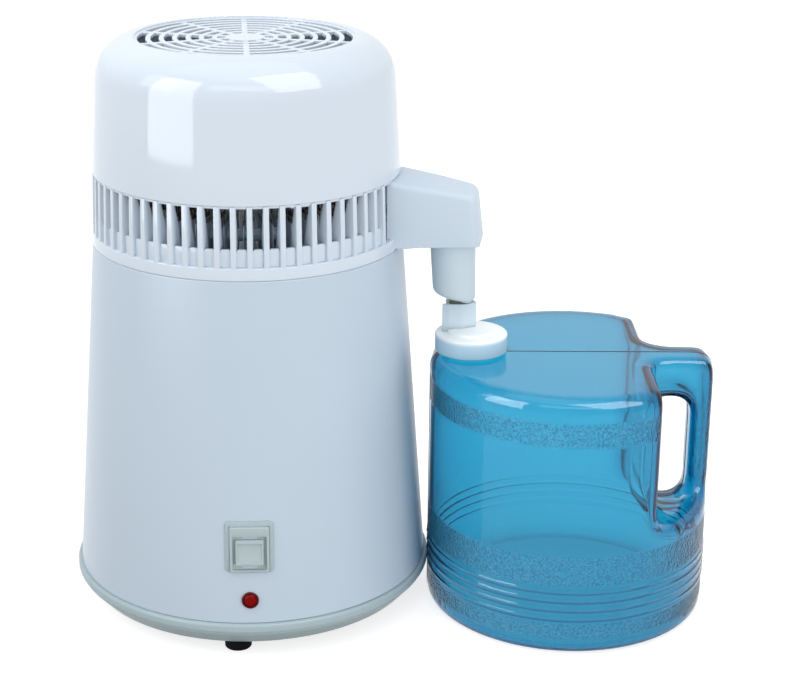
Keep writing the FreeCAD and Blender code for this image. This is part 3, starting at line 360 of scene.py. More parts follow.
class Web:
    """A shader node tree that is filled by short calls."""

    def __init__(self, tree: bpy.types.NodeTree) -> None:
        """Take a tree over."""
        self.tree = tree

    def feed(self, source: object, target: Socket) -> None:
        """Give an input its value.

        Args:
            source: A socket to link, or a number, a vector or a colour.
            target: The input.
        """
        if isinstance(source, Socket):
            self.tree.links.new(source, target)
        elif target.type == "RGBA":
            target.default_value = (*source, 1.0)
        else:
            target.default_value = source

    def node(self, kind: str, *inputs: object, **values: object) -> bpy.types.Node:
        """Add a node.

        Args:
            kind: Its type, without the leading ShaderNode.
            inputs: What goes into its first inputs.
            values: Properties, or inputs by name where the node has no such property.

        Returns:
            The node.
        """
        node = self.tree.nodes.new("ShaderNode" + kind)
        for key, value in values.items():
            if hasattr(node, key):
                setattr(node, key, value)
            else:
                self.feed(value, node.inputs[key.title()])
        for source, target in zip(inputs, node.inputs):
            self.feed(source, target)
        return node

    def math(self, operation: str, *inputs: object, clamp: bool = False) -> Socket:
        """Return the result of a Math node."""
        return self.node("Math", *inputs, operation=operation, use_clamp=clamp).outputs[0]

    def ranged(self, value: Socket, low: float, high: float, start: float = 0.0, end: float = 1.0) -> Socket:
        """Run from low to high while a value runs from start to end."""
        return self.node("MapRange", value, start, end, low, high).outputs[0]

    def mixed(self, mask: Socket, under: object, upper: object) -> Socket:
        """Run from one colour to another by a mask.

        Args:
            mask: The mask.
            under: The colour where it is 0, or its socket.
            upper: The colour where it is 1, or its socket.

        Returns:
            The mixed colour.
        """
        mix = self.node("Mix", mask, data_type="RGBA")
        colours = [socket for socket in mix.inputs if socket.type == "RGBA"]
        for source, target in zip((under, upper), colours):
            self.feed(source, target)
        return next(socket for socket in mix.outputs if socket.type == "RGBA")

    def noise(self, place: Socket, scale: object, detail: float, roughness: float = 0.5) -> Socket:
        """Return the value of a noise."""
        return self.node("TexNoise", place, scale=scale, detail=detail, roughness=roughness).outputs[0]

    def bump(self, height: Socket, depth: float, under: Socket | None = None) -> Socket:
        """Bump the surface.

        Args:
            height: The height.
            depth: How many millimetres deep it goes.
            under: A normal that is bumped already, or None.

        Returns:
            The normal.
        """
        bump = self.node("Bump", distance=depth * MM)
        self.feed(height, bump.inputs["Height"])
        if under is not None:
            self.feed(under, bump.inputs["Normal"])
        return bump.outputs[0]

    def place(self) -> Socket:
        """Return the place on the object."""
        return self.node("TexCoord").outputs["Object"]

    def parts(self, vector: Socket) -> list[Socket]:
        """Return the three parts of a vector."""
        return list(self.node("SeparateXYZ", vector).outputs)

    def bands(self, value: Socket, spans: Iterable[tuple[float, float]], edge: float) -> Socket:
        """Make a mask that is 1 in spans of a length and 0 between them.

        Args:
            value: The length.
            spans: Where each span starts and ends, in millimetres.
            edge: How wide its soft ends are, in millimetres.

        Returns:
            The mask.
        """
        group = shared_group("band", ("Value", "Low", "High", "Edge"), ("Mask",), fill_band)
        total = None
        for low, high in spans:
            mask = self.node("Group", value, low * MM, high * MM, edge * MM, node_tree=group).outputs[0]
            total = mask if total is None else self.math("ADD", total, mask, clamp=True)
        return total


def shared_group(name: str, takes: tuple[str, ...], gives: tuple[str, ...],
                 fill: Callable[..., list[Socket]]) -> bpy.types.NodeTree:
    """Return a node group, filled on first use.

    Args:
        name: Its name.
        takes: Its inputs, which are numbers, apart from one named Vector.
        gives: Its outputs, which are numbers.
        fill: Fills its web between the inputs that it is given and the outputs that it returns.

    Returns:
        The group.
    """
    found = bpy.data.node_groups.get(name)
    if found:
        return found
    web = Web(bpy.data.node_groups.new(name, "ShaderNodeTree"))
    for side, sockets in (("INPUT", takes), ("OUTPUT", gives)):
        for socket in sockets:
            kind = "NodeSocketVector" if socket == "Vector" else "NodeSocketFloat"
            web.tree.interface.new_socket(socket, in_out=side, socket_type=kind)
    start = web.tree.nodes.new("NodeGroupInput")
    end = web.tree.nodes.new("NodeGroupOutput")
    for source, target in zip(fill(web, *start.outputs[:len(takes)]), end.inputs):
        web.feed(source, target)
    return web.tree


def fill_band(web: Web, value: Socket, low: Socket, high: Socket, edge: Socket) -> list[Socket]:
    """Make a mask that is 1 between two values and 0 outside, with a soft edge.

    Args:
        web: The group's web.
        value: What the mask depends on.
        low: Where it starts.
        high: Where it ends.
        edge: How wide its ends are.

    Returns:
        The mask.
    """
    steps = []
    for bound, sign in ((low, 1.0), (high, -1.0)):
        share = web.math("DIVIDE", web.math("SUBTRACT", value, bound), edge)
        steps.append(web.math("MULTIPLY_ADD", share, sign, 0.5, clamp=True))
    return [web.math("MULTIPLY", *steps)]


def fill_moulding(web: Web, place: Socket, scale: Socket) -> list[Socket]:
    """Make the unevenness of moulded plastic: a fine height and a broad shade."""
    return [web.noise(place, scale, 3.0, 0.6), web.noise(place, 14.0, 2.0)]


@dataclass(frozen=True)
class Finish:
    """A finish: the colour and gloss of a material, and how uneven it is."""

    name: str
    slot: str
    colour: Colour
    roughness: float = 0.3
    metallic: float = 0.0
    uneven: float = 0.04
    grain_size: float = 400.0
    grain_depth: float = 0.02
    transmission: float = 0.0
    subsurface: float = 0.0
    ior: float = 1.47

    def material(self) -> bpy.types.Material:
        """Return the material, built on first use."""
        title = self.name + "_finish"
        found = bpy.data.materials.get(title)
        if found:
            return found
        material = bpy.data.materials.new(title)
        material.use_nodes = True
        web = Web(material.node_tree)
        looks = {"Metallic": self.metallic, "IOR": self.ior, "Transmission Weight": self.transmission,
                 "Subsurface Weight": self.subsurface, "Subsurface Radius": (1.0, 1.0, 1.0),
                 "Subsurface Scale": 2 * MM}
        for name, value in (looks | self.looks(web)).items():
            web.feed(value, web.tree.nodes["Principled BSDF"].inputs[name])
        return material

    def moulding(self, web: Web, place: Socket) -> list[Socket]:
        """Return the height and the shade of the unevenness."""
        group = shared_group("moulding", ("Vector", "Scale"), ("Height", "Shade"), fill_moulding)
        return list(web.node("Group", place, self.grain_size, node_tree=group).outputs)

    def looks(self, web: Web) -> dict[str, Socket]:
        """Make the colour, gloss and normal, each a little uneven.

        Args:
            web: The material's web.

        Returns:
            The socket for each of the inputs that it names.
        """
        height, shade = self.moulding(web, web.place())
        darker, paler = ([min(1.0, part * share) for part in self.colour]
                         for share in (1 - self.uneven, 1 + self.uneven))
        swing = 2 * self.uneven
        return {"Base Color": web.mixed(shade, darker, paler),
                "Roughness": web.ranged(shade, self.roughness * (1 - swing), self.roughness * (1 + swing)),
                "Normal": web.bump(height, self.grain_depth)}


@dataclass(frozen=True)
class TideFinish(Finish):
    """A finish that takes another colour below a height, for painted shade on the skirt and a painted
    reflection of the jug on the cap.
    """

    tide: float = 0.0
    edge: float = 1.0
    low: Colour = (1.0, 1.0, 1.0)

    def looks(self, web: Web) -> dict[str, Socket]:
        """Run from the lower colour to the usual one at the tide."""
        looks = super().looks(web)
        below = web.bands(web.parts(web.place())[2], [(-FAR, self.tide)], self.edge)
        return looks | {"Base Color": web.mixed(below, looks["Base Color"], self.low)}


@dataclass(frozen=True)
class FinFinish(Finish):
    """Fin metal, near black with fine upright streaks above a height, and pale and even below it, where the
    pale colour is painted light that stands in for the light inside the ring.
    """

    tide: float = 272.0
    # Painted light: the colour of the fins below the tide.
    pale: Colour = (0.50, 0.60, 0.70)
    streak: Colour = (0.75, 0.70, 0.66)

    def looks(self, web: Web) -> dict[str, Socket]:
        """Make the streaked colour, its change to the painted light below the tide, and the gloss."""
        place = web.place()
        drawn_out = web.node("Mapping", place, scale=(1.0, 1.0, 0.04)).outputs[0]
        noise = web.noise(drawn_out, 700.0, 2.0)
        streaked = web.mixed(web.ranged(noise, 0.0, 1.0, 0.5, 0.72), self.colour, self.streak)
        # Below the tide the fins take the pale colour: painted light.
        above = web.bands(web.parts(place)[2], [(self.tide, FAR)], 1.0)
        return {"Base Color": web.mixed(above, self.pale, streaked),
                "Roughness": web.ranged(noise, self.roughness * 0.8, self.roughness * 1.2)}


@dataclass(frozen=True)
class JugFinish(Finish):
    """Clear tinted plastic with pebbled bands."""

    axis: tuple[float, float] = (0.0, 0.0)
    turn: float = 0.0
    pebbled: tuple[tuple[float, float], ...] = ((140.6, 156.2), (47.8, 67.7), (11.5, 22.0))
    pebble_depth: float = 1.6
    pebble_haze: float = 0.2
    grip_reach: tuple[float, float] = (79.0, 100.0)
    grip_height: tuple[float, float] = (86.0, 142.0)
    grip_share: float = 0.4
    # deep: painted shade, the darker tint put in the dips between the pebbles
    deep: Colour = (0.03, 0.30, 0.50)
    # Painted shade in a band under each bead, and a painted highlight along each bead's upper side.
    bead_shade_colour: Colour = (0.03, 0.24, 0.42)
    bead_highlight_colour: Colour = (0.9, 0.99, 1.0)
    hollow_shade_share: float = 0.85
    inward_share: float = 0.12
    skin_radius: float = 90.4
    absorbs: Colour = (0.0, 0.645, 0.785)
    density: float = 480.0

    def looks(self, web: Web) -> dict[str, Socket]:
        """Pebble the bands, with painted shade in the dips between the pebbles and under each bead, and a
        painted highlight along each bead's upper side.

        Args:
            web: The material's web.

        Returns:
            The socket for each of the inputs that it names.
        """
        depth = web.node("VolumeAbsorption", self.absorbs, self.density).outputs[0]
        web.feed(depth, web.tree.nodes["Material Output"].inputs["Volume"])
        where = (self.axis[0] * MM, self.axis[1] * MM, 0.0)
        local = web.node("Mapping", web.place(), where, (0.0, 0.0, radians(self.turn)),
                         vector_type="TEXTURE").outputs[0]
        reach, _, height = web.parts(local)
        flat = web.node("Mapping", local, scale=(1.0, 1.0, 0.0)).outputs[0]
        radius = web.node("VectorMath", flat, operation="LENGTH").outputs["Value"]
        outside = self.facing(web, web.bands(radius, [(self.skin_radius, FAR)], 0.2))
        on_drum = web.math("MULTIPLY", web.bands(height, self.pebbled, 2.0), outside)
        upright = self.facing(web, web.bands(height, [self.grip_height], 4.0))
        on_grip = web.math("MULTIPLY", web.bands(reach, [self.grip_reach], 2.0), upright)
        mask = web.math("MAXIMUM", on_drum, web.math("MULTIPLY", on_grip, self.grip_share))
        cells = web.noise(local, 800.0, 1.0)
        # Painted shade: the dips between the pebbles take the darker tint.
        hollow_shade = web.math("MULTIPLY", web.ranged(cells, 0.0, self.hollow_shade_share, 0.45, 0.6), mask)
        colour = web.mixed(hollow_shade, self.colour, self.deep)
        # Painted shade under each bead and a painted highlight along its upper side.
        for low, high, line in ((-2.4, -0.9, self.bead_shade_colour), (0.0, 1.0, self.bead_highlight_colour)):
            lines = web.bands(height, [(bead + low, bead + high) for bead in BEADS], 0.4)
            colour = web.mixed(web.math("MULTIPLY", lines, outside), colour, line)
        pebbles = web.math("MULTIPLY", mask, web.math("SUBTRACT", cells, 0.5))
        grain = web.bump(self.moulding(web, local)[0], self.grain_depth)
        return {"Base Color": colour,
                "Roughness": web.ranged(mask, self.roughness, self.roughness + self.pebble_haze),
                "Normal": web.bump(pebbles, self.pebble_depth, grain)}

    def facing(self, web: Web, mask: Socket) -> Socket:
        """Weaken a mask where the surface is met from inside the plastic."""
        inside = web.node("NewGeometry").outputs["Backfacing"]
        return web.math("MULTIPLY", web.ranged(inside, 1.0, self.inward_share), mask)


WHITE = Finish("white_plastic", "white_plastic", (0.60, 0.675, 0.755), roughness=0.08, uneven=0.012,
               grain_depth=0.003, ior=1.33)
# The shell's white plastic is painted darker than the dome's: painted shade, as the shell gets less light.
SHADED_SHELL = Finish("shell_plastic_shaded", "white_plastic", (0.485, 0.57, 0.655), uneven=0.015, grain_depth=0.004,
               ior=1.25)
ARM_WHITE = Finish("arm_plastic", "white_plastic", (0.565, 0.655, 0.74), roughness=0.35, uneven=0.012,
                   grain_depth=0.003, ior=1.12)
# The skirt's white plastic is painted darker than the shell's, and darker again below the tide, where it
# leans in towards the feet: painted shade.
SHADED_SKIRT = TideFinish("skirt_plastic_shaded", "white_plastic", (0.37, 0.46, 0.49), roughness=0.35, uneven=0.015,
                   ior=1.2, tide=17.0, edge=4.0, low=(0.30, 0.38, 0.40))
# Below the tide the cap turns blue: a painted reflection of the blue jug on the cap's lower side.
CAP_WHITE = TideFinish("cap_plastic", "white_plastic", (0.90, 0.95, 0.97), uneven=0.015, ior=1.3,
                       tide=182.5, edge=3.0, low=(0.47, 0.69, 0.84))
NOZZLE = Finish("nozzle_plastic", "white_plastic", (0.56, 0.66, 0.725), roughness=0.35, uneven=0.02,
                ior=1.15)
SPOUT_WHITE = Finish("spout_plastic", "white_plastic", (0.55, 0.66, 0.73), uneven=0.02, ior=1.2)
# A beige sheet inside the spout: painted shade on the spout's inner wall.
SPOUT_SHADE = Finish("spout_wall_shade", "silicone", (0.50, 0.49, 0.40), roughness=0.4, uneven=0.03)
PALE = Finish("switch_plastic", "switch_plastic", (0.38, 0.46, 0.475), roughness=0.35, uneven=0.03, ior=1.3)
CLEAR = Finish("cover_plastic", "clear_cover", (0.50, 0.60, 0.635), transmission=0.3, ior=1.3)
RED = Finish("red_lens", "red_lens", (0.19, 0.002, 0.002), roughness=0.25, ior=1.12)
BEZEL = Finish("bezel_plastic", "dark_plastic", (0.09, 0.002, 0.004), ior=1.2)
# The rotor is painted a light blue-grey so that the grille's slots look light: painted light inside the dome.
ROTOR = Finish("rotor_plastic", "dark_plastic", (0.35, 0.42, 0.47), roughness=0.45, uneven=0.03)
DARK = Finish("dark_plastic", "dark_plastic", (0.012, 0.012, 0.014), roughness=0.45, grain_depth=0.03)
GREY = Finish("grey_plastic", "grey_plastic", (0.25, 0.26, 0.27), roughness=0.5, grain_depth=0.03)
RUBBER = Finish("foot_rubber", "black_rubber", (0.004, 0.004, 0.005), roughness=0.7, grain_depth=0.05,
                ior=1.15)
SILICONE = Finish("silicone", "silicone", (0.72, 0.71, 0.68), roughness=0.55, subsurface=0.1)
STEEL = Finish("steel", "steel", (0.60, 0.60, 0.61), roughness=0.28, metallic=1.0, uneven=0.08)
ALUMINIUM = Finish("aluminium", "aluminium", (0.55, 0.57, 0.60), roughness=0.35, metallic=1.0, uneven=0.1)
BRASS = Finish("brass", "brass", (0.66, 0.48, 0.2), metallic=1.0, uneven=0.08)
FINS = FinFinish("fin_metal", "aluminium", (0.05, 0.04, 0.035), roughness=0.5)
CLOTH = Finish("sachet_cloth", "cloth", (0.2, 0.2, 0.2), roughness=0.9, uneven=0.3, grain_size=1500.0,
               grain_depth=0.3)
INSIDES = {
    "foot_screws": STEEL, "pot_support_ring": GREY, "boiling_pot": STEEL, "heating_element": STEEL,
    "element_plate": ALUMINIUM, "element_nuts": BRASS, "thermostat": DARK, "thermal_cutout": DARK,
    "terminal_block": DARK, "mains_inlet": DARK, "inlet_screws": STEEL, "contact_socket": DARK,
    "contact_plug": DARK, "head_plate": STEEL, "head_gasket": SILICONE, "plate_screws": STEEL,
    "condenser_tube": FINS, "condenser_fins": FINS, "motor_bracket": STEEL, "fan_motor": DARK,
    "bracket_screws": STEEL, "fan_rotor": ROTOR, "fan_shaft": STEEL, "head_screws": STEEL,
    "cap_seal": SILICONE,
}


@dataclass
class Housing:
    """The skirt, the feet and the tapered shell."""

    foot_height: float = 8.0
    foot_radius: float = 8.5
    foot_circle: float = 97.2
    foot_turn: float = 4.8
    foot_well: float = 4.0
    foot_bore: float = 2.05
    foot_floor: float = 3.4
    skirt_foot: float = 107.5
    skirt_fold: float = 116.4
    skirt_rim: float = 117.48
    skirt_wall: float = 2.6
    fold_height: float = 18.5
    floor_top: float = 10.5
    seam: float = 24.8
    lip_high: float = 31.0
    low_radius: float = 115.0
    wall: float = 2.5
    shelf: float = 233.0
    shelf_inner: float = 91.0
    shelf_thick: float = 3.0
    front_turn: float = 9.8
    pad_face: float = 113.5
    pad_half: tuple[float, float] = (28.0, 17.0)
    inlet_half: tuple[float, float] = (13.9, 10.2)
    inlet_height: float = 60.0

    @property
    def taper(self) -> float:
        """How much the radius shrinks for each millimetre up."""
        return (self.low_radius - HEAD_SEAM_RADIUS) / (HEAD_SEAM - self.seam)

    def radius(self, height: float) -> float:
        """Return the shell's outer radius at a height."""
        return self.low_radius - (height - self.seam) * self.taper

    def on_front(self, shape: Shape, height: float) -> Shape:
        """Lay a shape that faces -Y about the origin on the front wall at a height."""
        shape.turned(-degrees(atan2(self.taper, 1.0)), Axis.X).moved(0, -self.radius(height), height)
        return shape.turned(self.front_turn)

    def build(self) -> None:
        """Build the skirt, the feet and the shell."""
        self.build_skirt()
        foot = Shape.spun([
            (self.foot_well, self.foot_floor), (self.foot_well, 0.0, 0.6), (self.foot_radius, 0.0, 1.2),
            (self.foot_radius, self.foot_height), (self.foot_bore, self.foot_height),
            (self.foot_bore, self.foot_floor),
        ], steps=48).moved(self.foot_circle)
        turns = [-90 + self.foot_turn + 90 * index for index in range(4)]
        foot.repeated(turns).finished("feet", "boiler", RUBBER, "rubber_feet")
        self.build_shell()

    def build_skirt(self) -> None:
        """Build the skirt: a band that leans in to the feet, a fold and a rounded rim."""
        lip = self.radius(self.lip_high) - self.wall - 0.15
        skirt = Shape.spun([
            (0, self.foot_height), (self.skirt_foot, self.foot_height, 1.2),
            (self.skirt_fold + 0.2, self.fold_height - 0.5, 0.8),
            (self.skirt_fold - 0.5, self.fold_height, 0.2),
            (self.skirt_rim, self.fold_height + 0.7, 1.6), (self.skirt_rim, self.seam - 0.3, 1.8),
            (self.low_radius - 0.6, self.seam - 0.1, 0.3), (lip, self.seam), (lip, self.lip_high),
            (lip - 2, self.lip_high), (lip - 2, self.fold_height),
            (self.skirt_foot - self.skirt_wall, self.floor_top), (0, self.floor_top),
        ], closed=False)
        skirt.finished("skirt", "boiler", SHADED_SKIRT, "base_tray")

    def build_shell(self) -> None:
        """Build the shell with its rounded ends, its inner shelf and the flat pad for the inlet."""
        inner = self.radius(self.shelf) - self.wall
        under = self.shelf - self.shelf_thick
        shell = Shape.spun([
            (self.low_radius - self.wall, self.seam + 0.05), (self.low_radius, self.seam + 0.05, 0.5),
            (HEAD_SEAM_RADIUS, HEAD_SEAM, 0.9), (HEAD_SEAM_RADIUS - self.wall, HEAD_SEAM, 0.3),
            (inner, self.shelf), (self.shelf_inner, self.shelf, 0.4), (self.shelf_inner, under, 0.4),
            (inner, under, 0.5),
        ], steps=256)
        shell.finished("shell", "boiler", SHADED_SHELL, "outer_shell")
        pad = self.on_back(self.pad_half, 0, 5).softened(1.5)
        pad.combined(self.on_back(self.inlet_half, -2, 20)).turned(180 + self.front_turn)
        pad.finished("inlet_pad", "boiler", SHADED_SHELL)

    def on_back(self, half: tuple[float, float], front: float, back: float) -> Shape:
        """Build a block about the inlet.

        Args:
            half: Half its width and half its height.
            front: Where it starts, from the pad's face.
            back: Where it ends.

        Returns:
            The block.
        """
        wide, tall = half
        return Shape.block((-wide, front - self.pad_face, self.inlet_height - tall),
                           (wide, back - self.pad_face, self.inlet_height + tall))


@dataclass
class Controls:
    """The rocker switch under its soft cover plate, and the lamp below it."""

    housing: Housing
    cover_width: float = 30.2
    cover_low: float = 58.6
    cover_high: float = 92.1
    cover_wall: float = 1.2
    cover_round: float = 3.0
    cover_strip: float = 2.2
    frame_width: float = 24.5
    frame_height: float = 29.4
    frame_middle: float = 74.0
    frame_proud: float = 2.4
    frame_back: float = 17.0
    recess_width: float = 21.0
    recess_height: float = 21.9
    recess_middle: float = 71.65
    recess_depth: float = 2.5
    rocker_width: float = 17.4
    rocker_height: float = 16.3
    rocker_thick: float = 10.0
    rocker_proud: float = 0.5
    rocker_tilt: float = 6.0
    panel_width: float = 14.9
    panel_height: float = 11.2
    panel_depth: float = 0.8
    pivot_radius: float = 1.2
    pivot_half: float = 10.3
    pivot_depth: float = 3.0
    lamp_height: float = 40.3
    lamp_back: float = -9.5
    bezel_inner: float = 4.25

    @property
    def shift(self) -> float:
        """How far the recess's middle lies above the frame's."""
        return self.recess_middle - self.frame_middle

    def build(self) -> None:
        """Build the cover, the frame, the rocker and the lamp."""
        self.build_cover()
        self.build_frame()
        self.build_rocker()
        self.build_lamp()

    def build_cover(self) -> None:
        """Build the cover plate, bent round the wall, with a raised rim."""
        half, low, high = self.cover_width / 2, self.cover_low, self.cover_high
        corners = ((-half, low), (half, low), (half, high), (-half, high))
        plate = Shape.prism([(*corner, self.cover_round) for corner in corners], 0, self.cover_wall)
        plate.softened(0.5, segments=2, above=60)
        wide, tall = self.frame_width / 2 + 0.2, self.frame_height / 2 + 0.2
        window = Shape.block((-wide, self.frame_middle - tall, -1), (wide, self.frame_middle + tall, 5))
        plate.combined(window)
        for index in range(-6, 7):
            plate.sliced((index * self.cover_strip, 0, 0), (1, 0, 0))
        for vert in plate.bm.verts:
            x, z, depth = vert.co
            vert.co = (x, -sqrt(self.housing.radius(z) ** 2 - x * x) - depth, z)
        plate.closed_up().turned(self.housing.front_turn)
        plate.finished("switch_cover_plate", "boiler", CLEAR, "switch_cover")

    def sunk(self, width: float, height: float, front: float, back: float) -> Shape:
        """Build a block about the recess's middle.

        Args:
            width: Its width.
            height: Its height.
            front: The depth that it starts at.
            back: The depth that it ends at.

        Returns:
            The block.
        """
        return Shape.block((-width / 2, front, self.shift - height / 2),
                           (width / 2, back, self.shift + height / 2))

    def build_frame(self) -> None:
        """Build the switch body with its recess and well."""
        wide, tall, face = self.frame_width / 2, self.frame_height / 2, -self.frame_proud
        body = Shape.block((-wide, face, -tall), (wide, self.frame_back, tall)).softened(0.7)
        recess = self.sunk(self.recess_width, self.recess_height, -9, face + self.recess_depth).softened(0.8)
        well = self.sunk(self.rocker_width + 0.6, self.rocker_height + 1.8, -9, 10.2)
        body.combined(recess).combined(well)
        body.softened(0.35, segments=2, where=lambda middle: middle.y < face + 0.2)
        self.housing.on_front(body, self.frame_middle)
        body.finished("switch_body", "boiler", PALE, "switch_frame")

    def build_rocker(self) -> None:
        """Build the rocker with its sunk face and pivots, tipped as it rests."""
        front = self.recess_depth - 2 * self.frame_proud - self.rocker_proud
        rocker = self.sunk(self.rocker_width, self.rocker_height, front, front + self.rocker_thick)
        panel = self.sunk(self.panel_width, self.panel_height, front - 1, front + self.panel_depth)
        rocker.softened(0.7).combined(panel)
        rocker.softened(0.2, segments=2, where=lambda middle: middle.y < front + self.panel_depth + 0.15)
        pivot = Shape.rod(self.pivot_radius, -self.pivot_half, self.pivot_half, 24).turned(90, Axis.Y)
        middle = (0, self.pivot_depth, self.shift)
        rocker.joined(pivot.moved(*middle)).turned(-self.rocker_tilt, Axis.X, middle)
        self.housing.on_front(rocker, self.frame_middle)
        rocker.finished("rocker_button", "rocker", PALE, "switch_rocker")

    def build_lamp(self) -> None:
        """Build the lamp's bezel and its domed lens."""
        back, inner = self.lamp_back, self.bezel_inner
        bezel = Shape.spun([(inner, back), (4.9, back), (4.9, 0), (5.3, 0, 0.1), (5.3, 1.5, 0.6),
                            (inner, 1.5, 0.3)], steps=64)
        lens = Shape.spun([(0, back), (4.1, back), (4.1, 0.9, 0.3), (2.9, 2.0, 2.0), (0, 2.45)],
                          closed=False, steps=64)
        for shape, name, finish, node in ((bezel, "lamp_ring", BEZEL, "lamp_bezel"),
                                          (lens, "lamp_dome", RED, "lamp_lens")):
            self.housing.on_front(shape.turned(90, Axis.X), self.lamp_height)
            shape.finished(name, "boiler", finish, node)


@dataclass
class HeadRing:
    """The slatted ring of the head with the arm that carries the filter cup."""

    band_top: float = 250.0
    band_inner: float = 95.5
    step_inner: float = 94.0
    tooth_top: float = 261.0
    tooth_wall: float = 2.0
    tooth_setback: float = 2.4
    ledge_low: float = 244.4
    ledge_high: float = 246.9
    ledge_inner: float = 88.0
    blade_count: int = 62
    slat_thick: float = 3.4
    slat_low_depth: float = 15.0
    slat_high_depth: float = 3.5
    crown_inset: float = 1.0
    crown_width: float = 4.9
    crown_height: float = 1.5
    ear_half: float = 6.0
    arm_root: float = 92.0
    arm_half: float = 23.0
    arm_end: float = 149.6
    arm_top_end: float = 277.6
    arm_end_half: float = 16.0
    arm_taper: float = 101.0
    hollow_half: float = 18.5
    cup_hole: float = 12.8

    @property
    def pitch(self) -> float:
        """Angle in degrees from slat to slat."""
        return 360.0 / self.blade_count

    def radius(self, height: float) -> float:
        """Return the outer radius at a height."""
        share = (height - HEAD_SEAM) / (DOME_SEAM - HEAD_SEAM)
        return HEAD_SEAM_RADIUS + share * (DOME_SEAM_RADIUS - HEAD_SEAM_RADIUS)

    def build(self) -> None:
        """Build the ring in one moulding, and the arm."""
        keep_out = degrees(asin(self.arm_half / DOME_SEAM_RADIUS)) + self.pitch / 2
        places = [(index + 0.5) * self.pitch for index in range(self.blade_count)]
        turns = [place for place in places if keep_out < place < 360 - keep_out]
        ring = self.band().joined(self.slat().repeated(turns), self.crown(), self.ears())
        ring.joined(self.tooth().repeated([turn + self.pitch / 2 for turn in turns[:-1]]))
        ring.finished("slatted_ring", "head", WHITE, "slat_ring")
        self.build_arm()

    def band(self) -> Shape:
        """Return the lower band with its inner ledge."""
        return Shape.spun([
            (self.band_inner, HEAD_SEAM, 0.3), (HEAD_SEAM_RADIUS, HEAD_SEAM, 0.9),
            (self.radius(self.band_top), self.band_top, 0.7), (self.step_inner, self.band_top),
            (self.step_inner, self.ledge_high), (self.ledge_inner, self.ledge_high, 0.3),
            (self.ledge_inner, self.ledge_low, 0.3), (self.band_inner, self.ledge_low),
        ], steps=256)

    def slat(self) -> Shape:
        """Return one slat at +X, which grows deeper towards its foot."""
        foot = self.band_top - 1
        low, high = self.radius(foot), self.radius(DOME_SEAM)
        outline = [(low - self.slat_low_depth, -foot), (low - 0.04, -foot),
                   (high - 0.04, 0.15 - DOME_SEAM), (high - self.slat_high_depth, 0.15 - DOME_SEAM)]
        slat = Shape.prism(outline, -self.slat_thick / 2, self.slat_thick / 2).turned(-90, Axis.X)
        return slat.softened(0.45, segments=2, where=lambda middle: middle.x > self.step_inner)

    def tooth(self) -> Shape:
        """Return the low wall between two slats at +X, with rounded top corners."""
        face = self.radius(self.band_top) - self.tooth_setback
        half = pi * face / self.blade_count - self.slat_thick / 2
        foot, top = self.band_top - 1, self.tooth_top
        outline = [(-half - 1, foot), (half + 1, foot), (half + 1, top - 1.8), (half - 0.05, top - 1.6, 0.2),
                   (half - 0.35, top, 1.4), (0.35 - half, top, 1.4), (0.05 - half, top - 1.6, 0.2),
                   (-half - 1, top - 1.8)]
        tooth = Shape.prism(outline, 0, self.tooth_wall).turned(90, Axis.X).turned(90)
        return tooth.softened(0.4, segments=2, above=60).moved(face - self.tooth_wall)

    def crown(self) -> Shape:
        """Return the thin ring that ties the slats together at the top."""
        outer = self.radius(DOME_SEAM) - self.crown_inset
        inner = outer - self.crown_width
        low = DOME_SEAM - self.crown_height
        return Shape.spun([(inner, low, 0.3), (outer, low, 0.3), (outer, DOME_SEAM), (inner, DOME_SEAM, 0.3)])

    def ears(self) -> Shape:
        """Return the three ears that the fan bracket sits on."""
        ear = Shape.block((83.0, -self.ear_half, DOME_SEAM - 2.5), (95.0, self.ear_half, DOME_SEAM))
        hole = Shape.rod(2.05, DOME_SEAM - 5, DOME_SEAM + 5, 24).moved(SCREW_CIRCLE)
        return ear.softened(0.4, segments=2).combined(hole).repeated(SCREW_TURNS)

    def build_arm(self) -> None:
        """Build the arm: a hollow box with rounded corners that grows out of the ring."""
        side = [(self.arm_root, HEAD_SEAM + 2), (103.0, HEAD_SEAM + 2, 6), (112.0, ARM_LOW, 6),
                (self.arm_end, ARM_LOW), (self.arm_end - 3.8, self.arm_top_end, 7), (124.7, 281.8, 14),
                (self.arm_root, DOME_SEAM - 0.2)]
        arm = Shape.prism([(x, -z, *rest) for x, z, *rest in side], -self.arm_half, self.arm_half)
        arm.turned(-90, Axis.X)
        arm.softened(4.0, segments=6, above=25, where=lambda middle: middle.x > 97
                     and abs(middle.y) > self.arm_half - 1 and middle.z > ARM_LOW + 4)
        arm.softened(0.8, above=40, where=lambda middle: middle.x > 97 and middle.z < ARM_LOW + 2.2)
        hole = Shape.rod(self.cup_hole, ARM_LOW - 5, ARM_LOW + 9, 96).moved(CUP_X)
        hollow = Shape.block((80, -self.hollow_half, ARM_LOW + 2.5),
                             (self.arm_end - 8.5, self.hollow_half, ARM_LOW + 29)).softened(2.0)
        self.narrow(arm)
        self.narrow(hollow)
        arm.combined(hollow).combined(hole)
        arm.finished("arm", "head", ARM_WHITE)

    def narrow(self, shape: Shape) -> None:
        """Narrow a shape towards the arm's end.

        Args:
            shape: The shape, which changes.
        """
        for index in range(1, 12):
            shape.sliced((self.arm_taper + index * 4.0, 0, 0), (1, 0, 0))
        for vert in shape.bm.verts:
            share = max(0.0, vert.co.x - self.arm_taper) / (self.arm_end - self.arm_taper)
            vert.co.y *= 1 - (1 - self.arm_end_half / self.arm_half) * share ** 1.2


